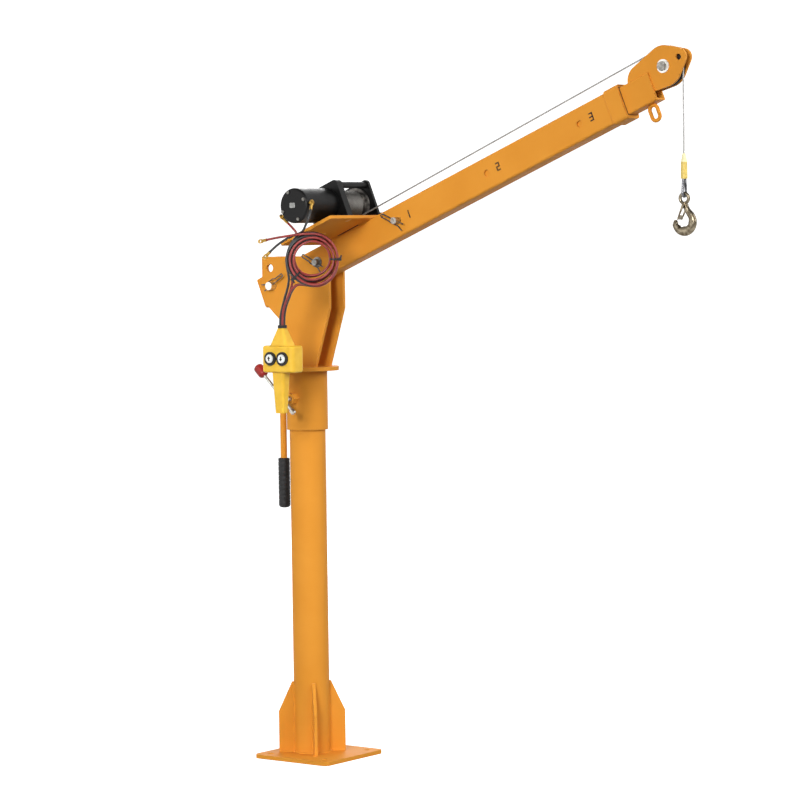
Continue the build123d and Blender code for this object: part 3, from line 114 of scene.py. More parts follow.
HEAD_WASHER_Y = -17.2
YOKE_FACES = (-32.0, -24.0, 24.0, 32.0)
YOKE_FOOT = 53.0
BRACKET_HALF = 15.0
PLATFORM_STOPS = (19.0, 76.0, 146.0, 186.0)
LENGTH_HOLES = (262.0, 546.0, 830.0)
NUMERAL_ASIDE = 30.0
NUMERAL_DROP = 8.0
HANDLE_X = -77.0


def boom(u, v, y):
    """World point in millimetres from the boom's length, height and crosswise coordinates."""
    return PIVOT + ALONG * u + ABOVE * v + Vector((0.0, y, 0.0))


MOTOR_AXIS = boom(WINCH[0], WINCH[1], 0.0)
SHEAVE_CENTRE = boom(SHEAVE[0], SHEAVE[1], 0.0)
COIL_CENTRE = Vector((MOTOR_AXIS.x + 34.6, -200.0, MOTOR_AXIS.z - 127.5))
GLAND = COIL_CENTRE + Vector((-98.0, 0.0, -158.5))
GLAND_HALF = 3.5
GLAND_RISE = 20.0
DROP_X = SHEAVE_CENTRE.x + SHEAVE_PITCH
SLEEVE_TOP = SHEAVE_CENTRE.z - DROP_LENGTH
SLEEVE_CONE = 19.0
SLEEVE_FOOT = SLEEVE_TOP - 57.0
THIMBLE_Z = SLEEVE_FOOT - 33.0
EYE_Z = THIMBLE_Z - EYE_RING
BOWL_Z = EYE_Z - HOOK_DROP


def metres(points):
    """The same points in metres."""
    return [Vector(point) / METRE for point in points]


def full_turn(count):
    """Angles of one turn in equal steps."""
    return [2 * math.pi * step / count for step in range(count)]


def photo_camera():
    """Camera at the photograph's place, its direction and focal length fitted to the crane's edges."""
    azimuth = math.radians(37.115)
    pitch = math.radians(3.164)
    roll = math.radians(-0.812)
    focal_pixels, photo_pixels, sensor = 3082.245, 800.0, 36.0
    aside, away, height = 0.230147, 7.626241, 1.304529
    across = Vector((math.cos(azimuth), math.sin(azimuth), 0.0))
    ahead = Vector((-math.sin(azimuth), math.cos(azimuth), 0.0))
    look = ahead * math.cos(pitch) - UP * math.sin(pitch)
    top = UP * math.cos(pitch) + ahead * math.sin(pitch)
    right = across * math.cos(roll) + top * math.sin(roll)
    top = top * math.cos(roll) - across * math.sin(roll)
    data = bpy.data.cameras.new("photo_camera")
    data.sensor_width = sensor
    data.lens = focal_pixels / photo_pixels * sensor
    data.clip_end = 500.0
    camera = bpy.data.objects.new("photo_camera", data)
    scene.collection.objects.link(camera)
    place = across * aside - ahead * away + UP * height
    turn = Matrix((right, top, -look)).transposed().to_4x4()
    camera.matrix_world = Matrix.Translation(place) @ turn
    scene.camera = camera


photo_camera()


# Materials
BEVEL_SAMPLES = 4

# Sockets of a Mix node that mixes colours
FACTOR, FIRST, SECOND, MIXED = 0, 6, 7, 2


def linear(code):
    """Linear colour from an sRGB hex code."""
    channels = [int(code[start:start + 2], 16) / 255.0 for start in (1, 3, 5)]
    curve = [c / 12.92 if c <= 0.04045 else ((c + 0.055) / 1.055) ** 2.4 for c in channels]
    return (*curve, 1.0)


def add(tree, kind, inputs=None, out=None, **settings):
    """Add a shader node with its settings, set or link its inputs, and return it or one of its outputs."""
    node = tree.nodes.new("ShaderNode" + kind)
    for name, value in settings.items():
        setattr(node, name, value)
    for name, value in (inputs or {}).items():
        if isinstance(value, bpy.types.NodeSocket):
            tree.links.new(value, node.inputs[name])
        else:
            node.inputs[name].default_value = value
    return node if out is None else node.outputs[out]


def begin(name):
    """New empty node material and its object coordinates."""
    material = bpy.data.materials.new(name)
    material.use_nodes = True
    tree = material.node_tree
    tree.nodes.clear()
    return material, tree, add(tree, "TexCoord", out="Object")


def speckle(tree, coords, size, detail=2.0):
    """Cloudy pattern from 0 to 1 with features of a size in millimetres."""
    cloud = add(tree, "TexNoise", {"Vector": coords, "Scale": METRE / size, "Detail": detail}, "Fac")
    return add(tree, "MapRange", {"Value": cloud, "From Min": 0.35, "From Max": 0.65}, "Result", clamp=True)


def edge_mask(tree, soft):
    """Mask that is 1 on edges, where a rounded normal leaves the face's own."""
    flat = add(tree, "NewGeometry", out="Normal")
    alike = add(tree, "VectorMath", {0: soft, 1: flat}, "Value", operation="DOT_PRODUCT")
    return add(tree, "MapRange", {"Value": alike, "From Min": 0.995, "From Max": 0.8}, "Result", clamp=True)


def step_along(tree, coords, axis, place, soft):
    """Factor that goes from 0 to 1 across a place along an axis, in millimetres."""
    value = add(tree, "SeparateXYZ", {"Vector": coords}, axis)
    span = {"Value": value, "From Min": (place - soft) / METRE, "From Max": (place + soft) / METRE}
    return add(tree, "MapRange", span, "Result", clamp=True)


def surface(tree, inputs):
    """Principled surface as the material's output."""
    add(tree, "OutputMaterial", {"Surface": add(tree, "BsdfPrincipled", inputs, "BSDF")})


def powder_coat():
    """Orange powder coat: faint orange peel, slight unevenness, and a pale painted highlight in patches along
    edges.
    """
    material, tree, coords = begin("orange_powder_coat")
    broad = speckle(tree, coords, 140.0, 3.0)
    peel = speckle(tree, coords, 2.2)
    soft = add(tree, "Bevel", {"Radius": 1.2 / METRE}, "Normal", samples=BEVEL_SAMPLES)
    patchy = speckle(tree, coords, 9.0, 4.0)
    # Pale colour on edges, in patches: a painted highlight.
    edge_highlight_mask = add(tree, "Math", {0: edge_mask(tree, soft), 1: patchy}, "Value", operation="MULTIPLY")
    painted_edge_highlight = add(tree, "MapRange", {"Value": edge_highlight_mask, "To Min": 0.0, "To Max": 0.55}, "Result")
    coat = add(tree, "Mix", {FACTOR: broad, FIRST: linear("#DD9131"), SECOND: linear("#E39837")},
               MIXED, data_type="RGBA")
    surface(tree, {
        "Base Color": add(tree, "Mix", {FACTOR: painted_edge_highlight, FIRST: coat, SECOND: linear("#FFD28C")},
                          MIXED, data_type="RGBA"),
        "Roughness": add(tree, "MapRange", {"Value": broad, "To Min": 0.46, "To Max": 0.56}, "Result"),
        "Specular IOR Level": 0.05,
        "Normal": add(tree, "Bump", {"Height": peel, "Distance": 0.05 / METRE, "Normal": soft}, "Normal"),
    })
    return material


def bright_zinc():
    """Zinc-plated steel: bright, faintly mottled, with fine turning marks."""
    material, tree, coords = begin("bright_zinc")
    cloud = speckle(tree, coords, 7.0, 4.0)
    marks = speckle(tree, coords, 0.5)
    soft = add(tree, "Bevel", {"Radius": 0.5 / METRE}, "Normal", samples=BEVEL_SAMPLES)
    surface(tree, {
        "Base Color": add(tree, "Mix", {FACTOR: cloud, FIRST: linear("#98968E"), SECOND: linear("#BDBBB5")},
                          MIXED, data_type="RGBA"),
        "Metallic": 1.0,
        "Roughness": add(tree, "MapRange", {"Value": cloud, "To Min": 0.22, "To Max": 0.38}, "Result"),
        "Normal": add(tree, "Bump", {"Height": marks, "Distance": 0.02 / METRE, "Normal": soft}, "Normal"),
    })
    return material


def black_enamel():
    """Black enamel on the winch: half gloss, a little dusty, greyer on the edges."""
    material, tree, coords = begin("black_enamel")
    dust = speckle(tree, coords, 25.0, 4.0)
    fine = speckle(tree, coords, 1.4)
    soft = add(tree, "Bevel", {"Radius": 0.9 / METRE}, "Normal", samples=BEVEL_SAMPLES)
    worn = add(tree, "MapRange", {"Value": edge_mask(tree, soft), "To Min": 0.0, "To Max": 0.3}, "Result")
    enamel = add(tree, "Mix", {FACTOR: dust, FIRST: linear("#040404"), SECOND: linear("#0A0909")},
                 MIXED, data_type="RGBA")
    surface(tree, {
        "Base Color": add(tree, "Mix", {FACTOR: worn, FIRST: enamel, SECOND: linear("#2C2A28")},
                          MIXED, data_type="RGBA"),
        "Roughness": add(tree, "MapRange", {"Value": dust, "To Min": 0.36, "To Max": 0.46}, "Result"),
        "Specular IOR Level": 0.18,
        "Normal": add(tree, "Bump", {"Height": fine, "Distance": 0.012 / METRE, "Normal": soft}, "Normal"),
    })
    return material


def moulded_plastic(name, dark, light, rough_low, rough_high, grain):
    """Moulded plastic: even in colour, with the fine matt grain of a spark-eroded mould."""
    material, tree, coords = begin(name)
    cloud = speckle(tree, coords, 30.0, 3.0)
    fine = speckle(tree, coords, grain, 3.0)
    soft = add(tree, "Bevel", {"Radius": 0.8 / METRE}, "Normal", samples=BEVEL_SAMPLES)
    surface(tree, {
        "Base Color": add(tree, "Mix", {FACTOR: cloud, FIRST: linear(dark), SECOND: linear(light)},
                          MIXED, data_type="RGBA"),
        "Roughness": add(tree, "MapRange", {"Value": fine, "To Min": rough_low, "To Max": rough_high},
                         "Result"),
        "Specular IOR Level": 0.3,
        "Subsurface Weight": 0.03,
        "Normal": add(tree, "Bump", {"Height": fine, "Distance": 0.05 / METRE, "Normal": soft}, "Normal"),
    })
    return material


def rope_sleeve_plastic():
    """Plastic sleeve on the rope: cream cone at the top, yellow body."""
    material, tree, coords = begin("rope_sleeve_plastic")
    fine = speckle(tree, coords, 0.8, 3.0)
    cone = step_along(tree, coords, "Z", SLEEVE_TOP - SLEEVE_CONE, 0.6)
    surface(tree, {
        "Base Color": add(tree, "Mix", {FACTOR: cone, FIRST: linear("#DDC05C"), SECOND: linear("#EBE3AE")},
                          MIXED, data_type="RGBA"),
        "Roughness": add(tree, "MapRange", {"Value": fine, "To Min": 0.35, "To Max": 0.5}, "Result"),
        "Normal": add(tree, "Bump", {"Height": fine, "Distance": 0.05 / METRE}, "Normal"),
    })
    return material


def winch_bolt_steel():
    """Platform bolts painted over with the platform, motor screws bright."""
    material, tree, coords = begin("winch_bolt_steel")
    cloud = speckle(tree, coords, 6.0, 3.0)
    painted = step_along(tree, coords, "Y", MOTOR_SCREW_Y, 1.0)
    soft = add(tree, "Bevel", {"Radius": 0.5 / METRE}, "Normal", samples=BEVEL_SAMPLES)
    steel = add(tree, "Mix", {FACTOR: cloud, FIRST: linear("#55534F"), SECOND: linear("#7C7A75")},
                MIXED, data_type="RGBA")
    surface(tree, {
        "Base Color": add(tree, "Mix", {FACTOR: painted, FIRST: steel, SECOND: linear("#E19733")},
                          MIXED, data_type="RGBA"),
        "Metallic": add(tree, "MapRange", {"Value": painted, "To Min": 1.0, "To Max": 0.0}, "Result"),
        "Roughness": add(tree, "MapRange", {"Value": cloud, "To Min": 0.3, "To Max": 0.42}, "Result"),
        "Normal": soft,
    })
    return material


def yoke_pin_steel():
    """Yoke pins: the boom's pivot darker and rougher, the angle pin near white as a painted highlight."""
    material, tree, coords = begin("yoke_pin_steel")
    cloud = speckle(tree, coords, 6.0, 3.0)
    pivot = step_along(tree, coords, "X", 0.0, 5.0)
    soft = add(tree, "Bevel", {"Radius": 0.5 / METRE}, "Normal", samples=BEVEL_SAMPLES)
    # Near-white colour of the angle pin: a painted highlight.
    bright = add(tree, "Mix", {FACTOR: cloud, FIRST: linear("#C9C7C0"), SECOND: linear("#E2E0DA")},
                 MIXED, data_type="RGBA")
    dull = add(tree, "Mix", {FACTOR: cloud, FIRST: linear("#5F5D5A"), SECOND: linear("#8A8883")},
               MIXED, data_type="RGBA")
    surface(tree, {
        "Base Color": add(tree, "Mix", {FACTOR: pivot, FIRST: bright, SECOND: dull}, MIXED, data_type="RGBA"),
        "Metallic": 1.0,
        "Roughness": add(tree, "MapRange", {"Value": pivot, "To Min": 0.3, "To Max": 0.42}, "Result"),
        "Normal": soft,
    })
    return material


def head_bolt_steel():
    """Head bolt: bright washers, duller nut and bolt end beyond them."""
    material, tree, coords = begin("head_bolt_steel")
    cloud = speckle(tree, coords, 6.0, 3.0)
    washer = step_along(tree, coords, "Y", HEAD_WASHER_Y, 0.3)
    soft = add(tree, "Bevel", {"Radius": 0.5 / METRE}, "Normal", samples=BEVEL_SAMPLES)
    nut = add(tree, "Mix", {FACTOR: cloud, FIRST: linear("#6B6964"), SECOND: linear("#8F8D88")},
              MIXED, data_type="RGBA")
    ring = add(tree, "Mix", {FACTOR: cloud, FIRST: linear("#D6D4CE"), SECOND: linear("#EDEBE6")},
               MIXED, data_type="RGBA")
    surface(tree, {
        "Base Color": add(tree, "Mix", {FACTOR: washer, FIRST: nut, SECOND: ring}, MIXED, data_type="RGBA"),
        "Metallic": add(tree, "MapRange", {"Value": washer, "To Min": 1.0, "To Max": 0.5}, "Result"),
        "Roughness": add(tree, "MapRange", {"Value": washer, "To Min": 0.35, "To Max": 0.45}, "Result"),
        "Normal": soft,
    })
    return material


def cable_jacket(name, dark, light):
    """Soft cable jacket: slightly waxy, with scuffs."""
    material, tree, coords = begin(name)
    wax = speckle(tree, coords, 12.0, 4.0)
    scuff = speckle(tree, coords, 1.2, 3.0)
    surface(tree, {
        "Base Color": add(tree, "Mix", {FACTOR: wax, FIRST: linear(dark), SECOND: linear(light)},
                          MIXED, data_type="RGBA"),
        "Roughness": add(tree, "MapRange", {"Value": wax, "To Min": 0.32, "To Max": 0.5}, "Result"),
        "Normal": add(tree, "Bump", {"Height": scuff, "Distance": 0.04 / METRE}, "Normal"),
    })
    return material


def plated_steel(name, dark, light, rough_low, rough_high):
    """Plated or cast metal, cloudy at two sizes."""
    material, tree, coords = begin(name)
    cloud = speckle(tree, coords, 9.0, 5.0)
    fine = speckle(tree, coords, 1.0, 3.0)
    soft = add(tree, "Bevel", {"Radius": 0.6 / METRE}, "Normal", samples=BEVEL_SAMPLES)
    surface(tree, {
        "Base Color": add(tree, "Mix", {FACTOR: cloud, FIRST: linear(dark), SECOND: linear(light)},
                          MIXED, data_type="RGBA"),
        "Metallic": 1.0,
        "Roughness": add(tree, "MapRange", {"Value": cloud, "To Min": rough_low, "To Max": rough_high},
                         "Result"),
        "Normal": add(tree, "Bump", {"Height": fine, "Distance": 0.05 / METRE, "Normal": soft}, "Normal"),
    })
    return material


def steel_rope(name, groove, crown):
    """Wire rope: strands with painted shade in the grooves between them, and single wires across each strand.
    """
    material, tree, coords = begin(name)
    strand = add(tree, "Attribute", out="Fac", attribute_name="strand")
    cloud = speckle(tree, coords, 15.0, 3.0)
    wires = speckle(tree, coords, 0.5, 1.0)
    dull = add(tree, "MapRange", {"Value": cloud, "To Min": 0.0, "To Max": 0.25}, "Result")
    # Groove colour darker than crown colour: painted shade between the strands.
    steel = add(tree, "Mix", {FACTOR: strand, FIRST: linear(groove), SECOND: linear(crown)},
                MIXED, data_type="RGBA")
    surface(tree, {
        "Base Color": add(tree, "Mix", {FACTOR: dull, FIRST: steel, SECOND: linear("#8C8A84")},
                          MIXED, data_type="RGBA"),
        "Metallic": 0.7,
        "Roughness": add(tree, "MapRange", {"Value": strand, "To Min": 0.6, "To Max": 0.34}, "Result"),
        "Normal": add(tree, "Bump", {"Height": wires, "Distance": 0.08 / METRE}, "Normal"),
    })
    return material


ORANGE = powder_coat()
ZINC = bright_zinc()
BLACK = black_enamel()
YELLOW = moulded_plastic("yellow_moulded_plastic", "#E5B32A", "#EFC03A", 0.42, 0.55, 0.6)
DARK = moulded_plastic("black_moulded_plastic", "#0F0F10", "#1B1B1C", 0.45, 0.6, 0.5)
WHITE = moulded_plastic("white_moulded_plastic", "#E2E2DE", "#EFEFEC", 0.3, 0.42, 0.5)
RED = moulded_plastic("red_dipped_plastic", "#7E1712", "#98211A", 0.3, 0.42, 1.5)
RUBBER = moulded_plastic("black_rubber_grip", "#121213", "#202022", 0.55, 0.75, 0.8)
SLEEVE = rope_sleeve_plastic()
RED_CABLE = cable_jacket("red_cable_jacket", "#7C1A16", "#96281F")
BLACK_CABLE = cable_jacket("black_cable_jacket", "#0D0D0E", "#1D1D1F")
HOOK_STEEL = plated_steel("bright_hook_plating", "#443A2C", "#7E7564", 0.14, 0.26)
# Near-black sheave metal: painted shade of the gap between the head's cheeks.
SHADED_SHEAVE_IRON = plated_steel("sheave_iron_painted_shade", "#221E1B", "#37312C", 0.45, 0.6)
DRUM_STEEL = plated_steel("worn_drum_steel", "#3A3836", "#807C77", 0.32, 0.5)
HEAD_BOLT = head_bolt_steel()
BRASS = plated_steel("terminal_brass", "#8E6C2C", "#B4924C", 0.25, 0.4)
BRONZE = plated_steel("bearing_bronze", "#8A6A35", "#A9854A", 0.35, 0.5)
ROPE = steel_rope("galvanised_rope", "#33322F", "#A9A8A6")
# Rope wound on the drum: the same rope in darker colours, as painted shade.
SHADED_DRUM_ROPE = steel_rope("drum_rope_painted_shade", "#0A0A0A", "#6E6B67")
BOLTS = winch_bolt_steel()
# Dark steel for the pins' clips: painted shade.
SHADED_CLIP_STEEL = plated_steel("clip_steel_painted_shade", "#3E3A35", "#6E6962", 0.3, 0.45)
PINS = yoke_pin_steel()
# Dark matt paint: stencilled print, and painted shadow in open gaps.
PRINT_AND_GAP_SHADE = moulded_plastic("stencil_and_gap_shade_paint", "#060504", "#0E0C0A", 0.7, 0.85, 0.8)
NAMEPLATE = plated_steel("nameplate_aluminium", "#7A7A78", "#9A9A98", 0.35, 0.5)
THIMBLE = plated_steel("galvanised_thimble", "#343436", "#77777A", 0.2, 0.35)

SLOT_MATERIALS = {
    "orange_paint": ORANGE,
    "zinc_steel": ZINC,
    "black_paint": BLACK,
    "black_plastic": DARK,
    "yellow_plastic": YELLOW,
    "red_plastic": RED,
    "white_plastic": WHITE,
    "black_rubber": RUBBER,
    "bronze": BRONZE,
    "wire_rope": ROPE,
    "pale_sleeve": SLEEVE,
    "red_cable": RED_CABLE,
    "black_cable": BLACK_CABLE,
    "hook_steel": HOOK_STEEL,
    "terminal_brass": BRASS,
}


def dress_cad_nodes():
    """Give every CAD node the finished material of its slot."""
    for entry in frame["record"]["subparts"]:
        mesh = nodes[entry["node"]].data
        mesh.materials.clear()
        mesh.materials.append(SLOT_MATERIALS[entry["material_slot"]])
    for name, material in (("winch_fasteners", BOLTS), ("yoke_pins", PINS), ("yoke_clips", SHADED_CLIP_STEEL),
                           ("extension_clip", SHADED_CLIP_STEEL), ("sheave_wheel", SHADED_SHEAVE_IRON), ("head_bolt", HEAD_BOLT),
                           ("winch_drum", DRUM_STEEL), ("thimble", THIMBLE)):
        nodes[name].data.materials[0] = material


dress_cad_nodes()


# Shaping
def link(name, data, material):
    """New object with one material, in the scene."""
    data.materials.append(material)
    piece = bpy.data.objects.new(name, data)
    scene.collection.objects.link(piece)
    return piece


def skin(shape, rows, caps=True):
    """Add rings of points, in metres, to a mesh as one tube."""
    rings = [[shape.verts.new(point) for point in row] for row in rows]
    count = len(rings[0])
    for low, high in zip(rings, rings[1:]):
        for place in range(count):
            after = (place + 1) % count
            shape.faces.new((low[place], low[after], high[after], high[place]))
    if caps:
        shape.faces.new(list(reversed(rings[0])))
        shape.faces.new(rings[-1])


def finish_piece(shape, name, material, sharp=40.0):
    """Turn a mesh into a smooth-shaded object with sharp edges above an angle."""
    bmesh.ops.recalc_face_normals(shape, faces=shape.faces)
    data = bpy.data.meshes.new(name)
    shape.to_mesh(data)
    shape.free()
    data.polygons.foreach_set("use_smooth", [True] * len(data.polygons))
    data.set_sharp_from_angle(angle=math.radians(sharp))
    return link(name, data, material)


def sides_along(line):
    """Two crosswise directions at each point of a line, turned as little as possible from point to point."""
    result = []
    side = None
    last = len(line) - 1
    for place in range(len(line)):
        ahead = (line[min(place + 1, last)] - line[max(place - 1, 0)]).normalized()
        side = ahead.orthogonal() if side is None else side
        side = (side - ahead * side.dot(ahead)).normalized()
        result.append((side, ahead.cross(side)))
    return result


def route_curve(name, points, resolution):
    """Curve with one smooth open spline through a route's control points."""
    data = bpy.data.curves.new(name, "CURVE")
    data.dimensions = "3D"
    data.resolution_u = resolution
    spline = data.splines.new("NURBS")
    spline.points.add(len(points) - 1)
    for place, point in zip(spline.points, metres(points)):
        place.co = (*point, 1.0)
    spline.order_u = 3
    spline.use_endpoint_u = True
    return data


def smooth_line(points, resolution):
    """Points in metres along a route's smooth spline."""
    data = route_curve("line", points, resolution)
    carrier = bpy.data.objects.new("line", data)
    mesh = bpy.data.meshes.new_from_object(carrier)
    line = [vertex.co.copy() for vertex in mesh.vertices]
    bpy.data.objects.remove(carrier)
    bpy.data.curves.remove(data)
    bpy.data.meshes.remove(mesh)
    return line


def length_of(line):
    """Length of a line of points."""
    return sum((after - before).length for before, after in zip(line, line[1:]))


# Cables
CABLE_SMOOTH = 8
TIE_TAILS = (70.0, -60.0)
TIE_OUT = 55.5
TIE_LOOP = (12.6, 15.0)
TIE_SQUARENESS = 0.55


def coil_levels():
    """Heights of the coil's half turns above and below its centre."""
    levels = []
    for half in range(COIL_HALVES + 1):
        shrink = CABLE_STEP / 2 * half
        if half in (COIL_CLIMB, COIL_CLIMB + 1):
            shrink += COIL_TUCK
        if half > COIL_CLIMB + 1:
            shrink = CABLE_STEP / 2 * (COIL_HALVES - half)
        levels.append((COIL_RADIUS - shrink) * (1 if half % 2 == 0 else -1))
    return levels


def coil_place(right, front, up):
    """World point from the coil's own directions."""
    return COIL_CENTRE + COIL_RIGHT * right + COIL_FRONT * front + UP * up


def coil_turns(layers, form, per_half=12):
    """Control points of the coil's half turns, each a little different, fanned out between the two ties."""
    levels = coil_levels()
    aside, lower, wider, fans = form
    step = math.pi / per_half
    grow = 1.0 / math.cos(step / 2)
    points = []
    side = 1.0
    for half in range(COIL_HALVES):
        front = layers[0] if half <= COIL_CLIMB else layers[1]
        front_next = layers[0] if half < COIL_CLIMB else layers[1]
        begin_point = coil_place(aside, front, levels[half] - lower)
        end_point = coil_place(aside, front_next, levels[half + 1] - lower)
        middle = (begin_point + end_point) / 2
        arm = (begin_point - end_point) / 2
        for place in range(per_half):
            turn = step * (place + 0.5)
            out = arm * math.cos(turn) + COIL_RIGHT * (side * arm.length * math.sin(turn))
            angle = math.degrees(math.atan2(out.z, out.dot(COIL_RIGHT)))
            ease = wider[half] + (wider[half + 1] - wider[half]) * (turn / math.pi)
            if TIE_ANGLES[1] < angle < TIE_ANGLES[0]:
                share = (angle - TIE_ANGLES[1]) / (TIE_ANGLES[0] - TIE_ANGLES[1])
                ease += fans[half // 2] * math.sin(math.pi * share) ** 2
            points.append(middle + out * grow + out.normalized() * ease)
        side = -side
    return points


def gland_hole(side_x, side_y, rise=0.0):
    """Point above one of the four cable holes of the control's gland."""
    return GLAND + Vector((side_x * GLAND_HALF, side_y * GLAND_HALF, rise))


def cable_curve(name, points, material):
    """Round cable along a route's control points."""
    data = route_curve(name, points, CABLE_SMOOTH)
    data.bevel_depth = CABLE_DIA / 2 / METRE
    data.bevel_resolution = 5
    data.use_fill_caps = True
    return link(name, data, material)


def cable_ties():
    """Two plastic ties round the coil: strap, locking head and cut tail."""
    shape = bmesh.new()
    for angle, tail in zip(TIE_ANGLES, TIE_TAILS):
        turn = math.radians(angle)
        out = COIL_RIGHT * math.cos(turn) + UP * math.sin(turn)
        around = UP * math.cos(turn) - COIL_RIGHT * math.sin(turn)
        middle = coil_place(-2.0, 0.0, -1.0) + out * TIE_OUT
        strap = []
        for way in (*full_turn(32), 2 * math.pi):
            reach = [math.copysign(abs(part) ** TIE_SQUARENESS, part)
                     for part in (math.cos(way), math.sin(way))]
            normal = (out * reach[0] + COIL_FRONT * reach[1]).normalized()
            spot = middle + out * (TIE_LOOP[0] * reach[0]) + COIL_FRONT * (TIE_LOOP[1] * reach[1])
            strap.append([(spot + around * a + normal * b) / METRE
                          for a, b in ((-2.3, 0.0), (2.3, 0.0), (2.3, 1.5), (-2.3, 1.5))])
        skin(shape, strap, caps=False)
        head = middle + out * 11.0 + COIL_FRONT * TIE_LOOP[1]
        block = []
        for depth, size in ((-1.0, 0.85), (0.0, 1.0), (4.6, 1.0), (5.6, 0.8)):
            block.append([(head + COIL_FRONT * depth + around * (a * size) + out * (b * size)) / METRE
                          for a, b in ((-4.0, -3.6), (4.0, -3.6), (4.0, 3.6), (-4.0, 3.6))])
        skin(shape, block)
        lean = math.radians(tail)
        flow = COIL_RIGHT * math.cos(lean) + UP * math.sin(lean)
        cross = UP * math.cos(lean) - COIL_RIGHT * math.sin(lean)
        end = []
        for step in range(4):
            spot = head + COIL_FRONT * (4.0 - 0.15 * step * step) + flow * (2.0 + 2.6 * step)
            end.append([(spot + cross * a + COIL_FRONT * b) / METRE
                        for a, b in ((-2.0, -0.6), (2.0, -0.6), (2.0, 0.6), (-2.0, 0.6))])
        skin(shape, end)
    bmesh.ops.remove_doubles(shape, verts=shape.verts, dist=1e-6)
    piece = finish_piece(shape, "coil_ties", DARK, 30.0)
    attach(piece, "control")
    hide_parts("cable_ties")
    return piece


COIL_TIES = cable_ties()


def battery_cable(name, layers, form, lead, drop, hole, material, replaced):
    """Battery cable: up from the control's gland, round the coil, and out to its ring lug."""
    levels = coil_levels()
    aside, lower, wider = form[:3]
    enter = coil_place(aside - CABLE_DIA, layers[0], levels[0] + wider[0] - lower)
    leave = coil_place(aside - CABLE_DIA, layers[1], levels[-1] - wider[-1] - lower)
    foot = gland_hole(*hole)
    points = [foot, gland_hole(*hole, GLAND_RISE)]
    points += [coil_place(*place) for place in reversed(drop)]
    points += [leave]
    points += list(reversed(coil_turns(layers, form)))
    points += [enter, enter - COIL_RIGHT * COIL_LEAD_OUT]
    points += [coil_place(*place) for place in lead]
    piece = cable_curve(name, points, material)
    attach(piece, "control")
    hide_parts(*replaced)
    length_of(smooth_line(points, CABLE_SMOOTH))


battery_cable(
    "red_battery_cable",
    (1.5 * CABLE_STEP, -0.5 * CABLE_STEP),
    (-0.5, 1.0, (1.0, 0.4, -1.6, -2.2, -2.0, -2.2, -1.4, -0.4, 0.6, 1.0), (3.2, -0.5, -2.5, 0.0, 4.0)),
    [(-67.0, -4.0, 54.5), (-92.0, -20.0, 51.0), (-111.0, -34.0, 47.0)],
    [(-28.0, -5.0, -60.0), (-42.0, -8.0, -61.0), (-54.5, -14.0, -73.0), (-66.5, -32.4, -98.0),
     (-74.5, -47.4, -120.5)],
    (1, -1),
    RED_CABLE,
    ("red_lead", "red_coil", "red_drop"),
)
battery_cable(
    "black_battery_cable",
    (0.5 * CABLE_STEP, -1.5 * CABLE_STEP),
    (-4.0, 0.5, (3.4, 3.6, 2.0, 1.2, 0.4, 0.6, 1.4, 2.6, 3.4, 3.0), (1.5, -0.5, -2.0, -1.0, 2.0)),
    [(-65.0, -10.0, 48.5), (-90.0, -26.5, 31.5), (-103.5, -37.0, 18.5)],
    [(-30.0, -13.0, -60.5), (-42.0, -18.0, -62.0), (-52.0, -25.5, -74.0), (-64.0, -42.4, -102.0),
     (-70.5, -54.4, -122.5)],
    (1, 1),
    BLACK_CABLE,
    ("black_lead", "black_coil", "black_drop"),
)


def motor_cable(name, angle, y, way, lean, via, hole, material, node):
    """Motor cable from a terminal lug down to the control's gland, running between boom and control."""
    turn = math.radians(angle)
    out = Vector((math.cos(turn), 0.0, math.sin(turn)))
    around = Vector((-out.z, 0.0, out.x))
    tilt = math.radians(lean)
    heading = around * (way * math.cos(tilt)) - Vector((0.0, math.sin(tilt), 0.0))
    start = MOTOR_AXIS + out * STUD_REACH + Vector((0.0, y, 0.0)) + heading * LUG_LENGTH
    points = [start, start + heading * LUG_STRAIGHT]
    points += [coil_place(*place) for place in via]
    points += [gland_hole(*hole, GLAND_RISE), gland_hole(*hole)]
    line = smooth_line(points, CABLE_SMOOTH)
    curve = cable_curve(name + "_line", points, material)
    data = bpy.data.meshes.new_from_object(curve)
    bpy.data.objects.remove(curve)
    data.polygons.foreach_set("use_smooth", [True] * len(data.polygons))
    data.materials.clear()
    piece = link(name, data, material)
    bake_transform(piece)
    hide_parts(node)


motor_cable(
    "red_motor_cable", 212.0, -221.0, 1, -32.0,
    [(-38.5, -31.0, 62.0), (-42.0, -30.0, 46.0), (-56.0, -28.0, 23.0), (-59.0, -27.0, -10.0),
     (-52.0, -29.0, -40.0), (-51.0, -33.0, -60.0), (-60.0, -42.0, -84.0), (-70.0, -55.0, -104.0)],
    (-1, 1), RED_CABLE, "motor_red_lead",
)
motor_cable(
    "black_motor_cable", 8.0, -219.0, -1, 25.0,
    [(-16.0, 34.0, 80.0), (-22.0, 17.0, 67.0), (-30.0, -6.0, 63.0), (-42.0, -20.0, 51.0),
     (-56.0, -19.0, 33.0), (-65.0, -19.0, 4.0), (-63.0, -20.0, -20.0), (-58.0, -24.0, -44.0),
     (-62.5, -33.0, -68.0), (-72.0, -43.0, -97.0)],
    (-1, -1), BLACK_CABLE, "motor_black_lead",
)


# Rope
ROPE_LAY = 26.0
ROPE_AROUND = 30
ROPE_GROOVE = 0.577
DRUM_TURN_POINTS = 14


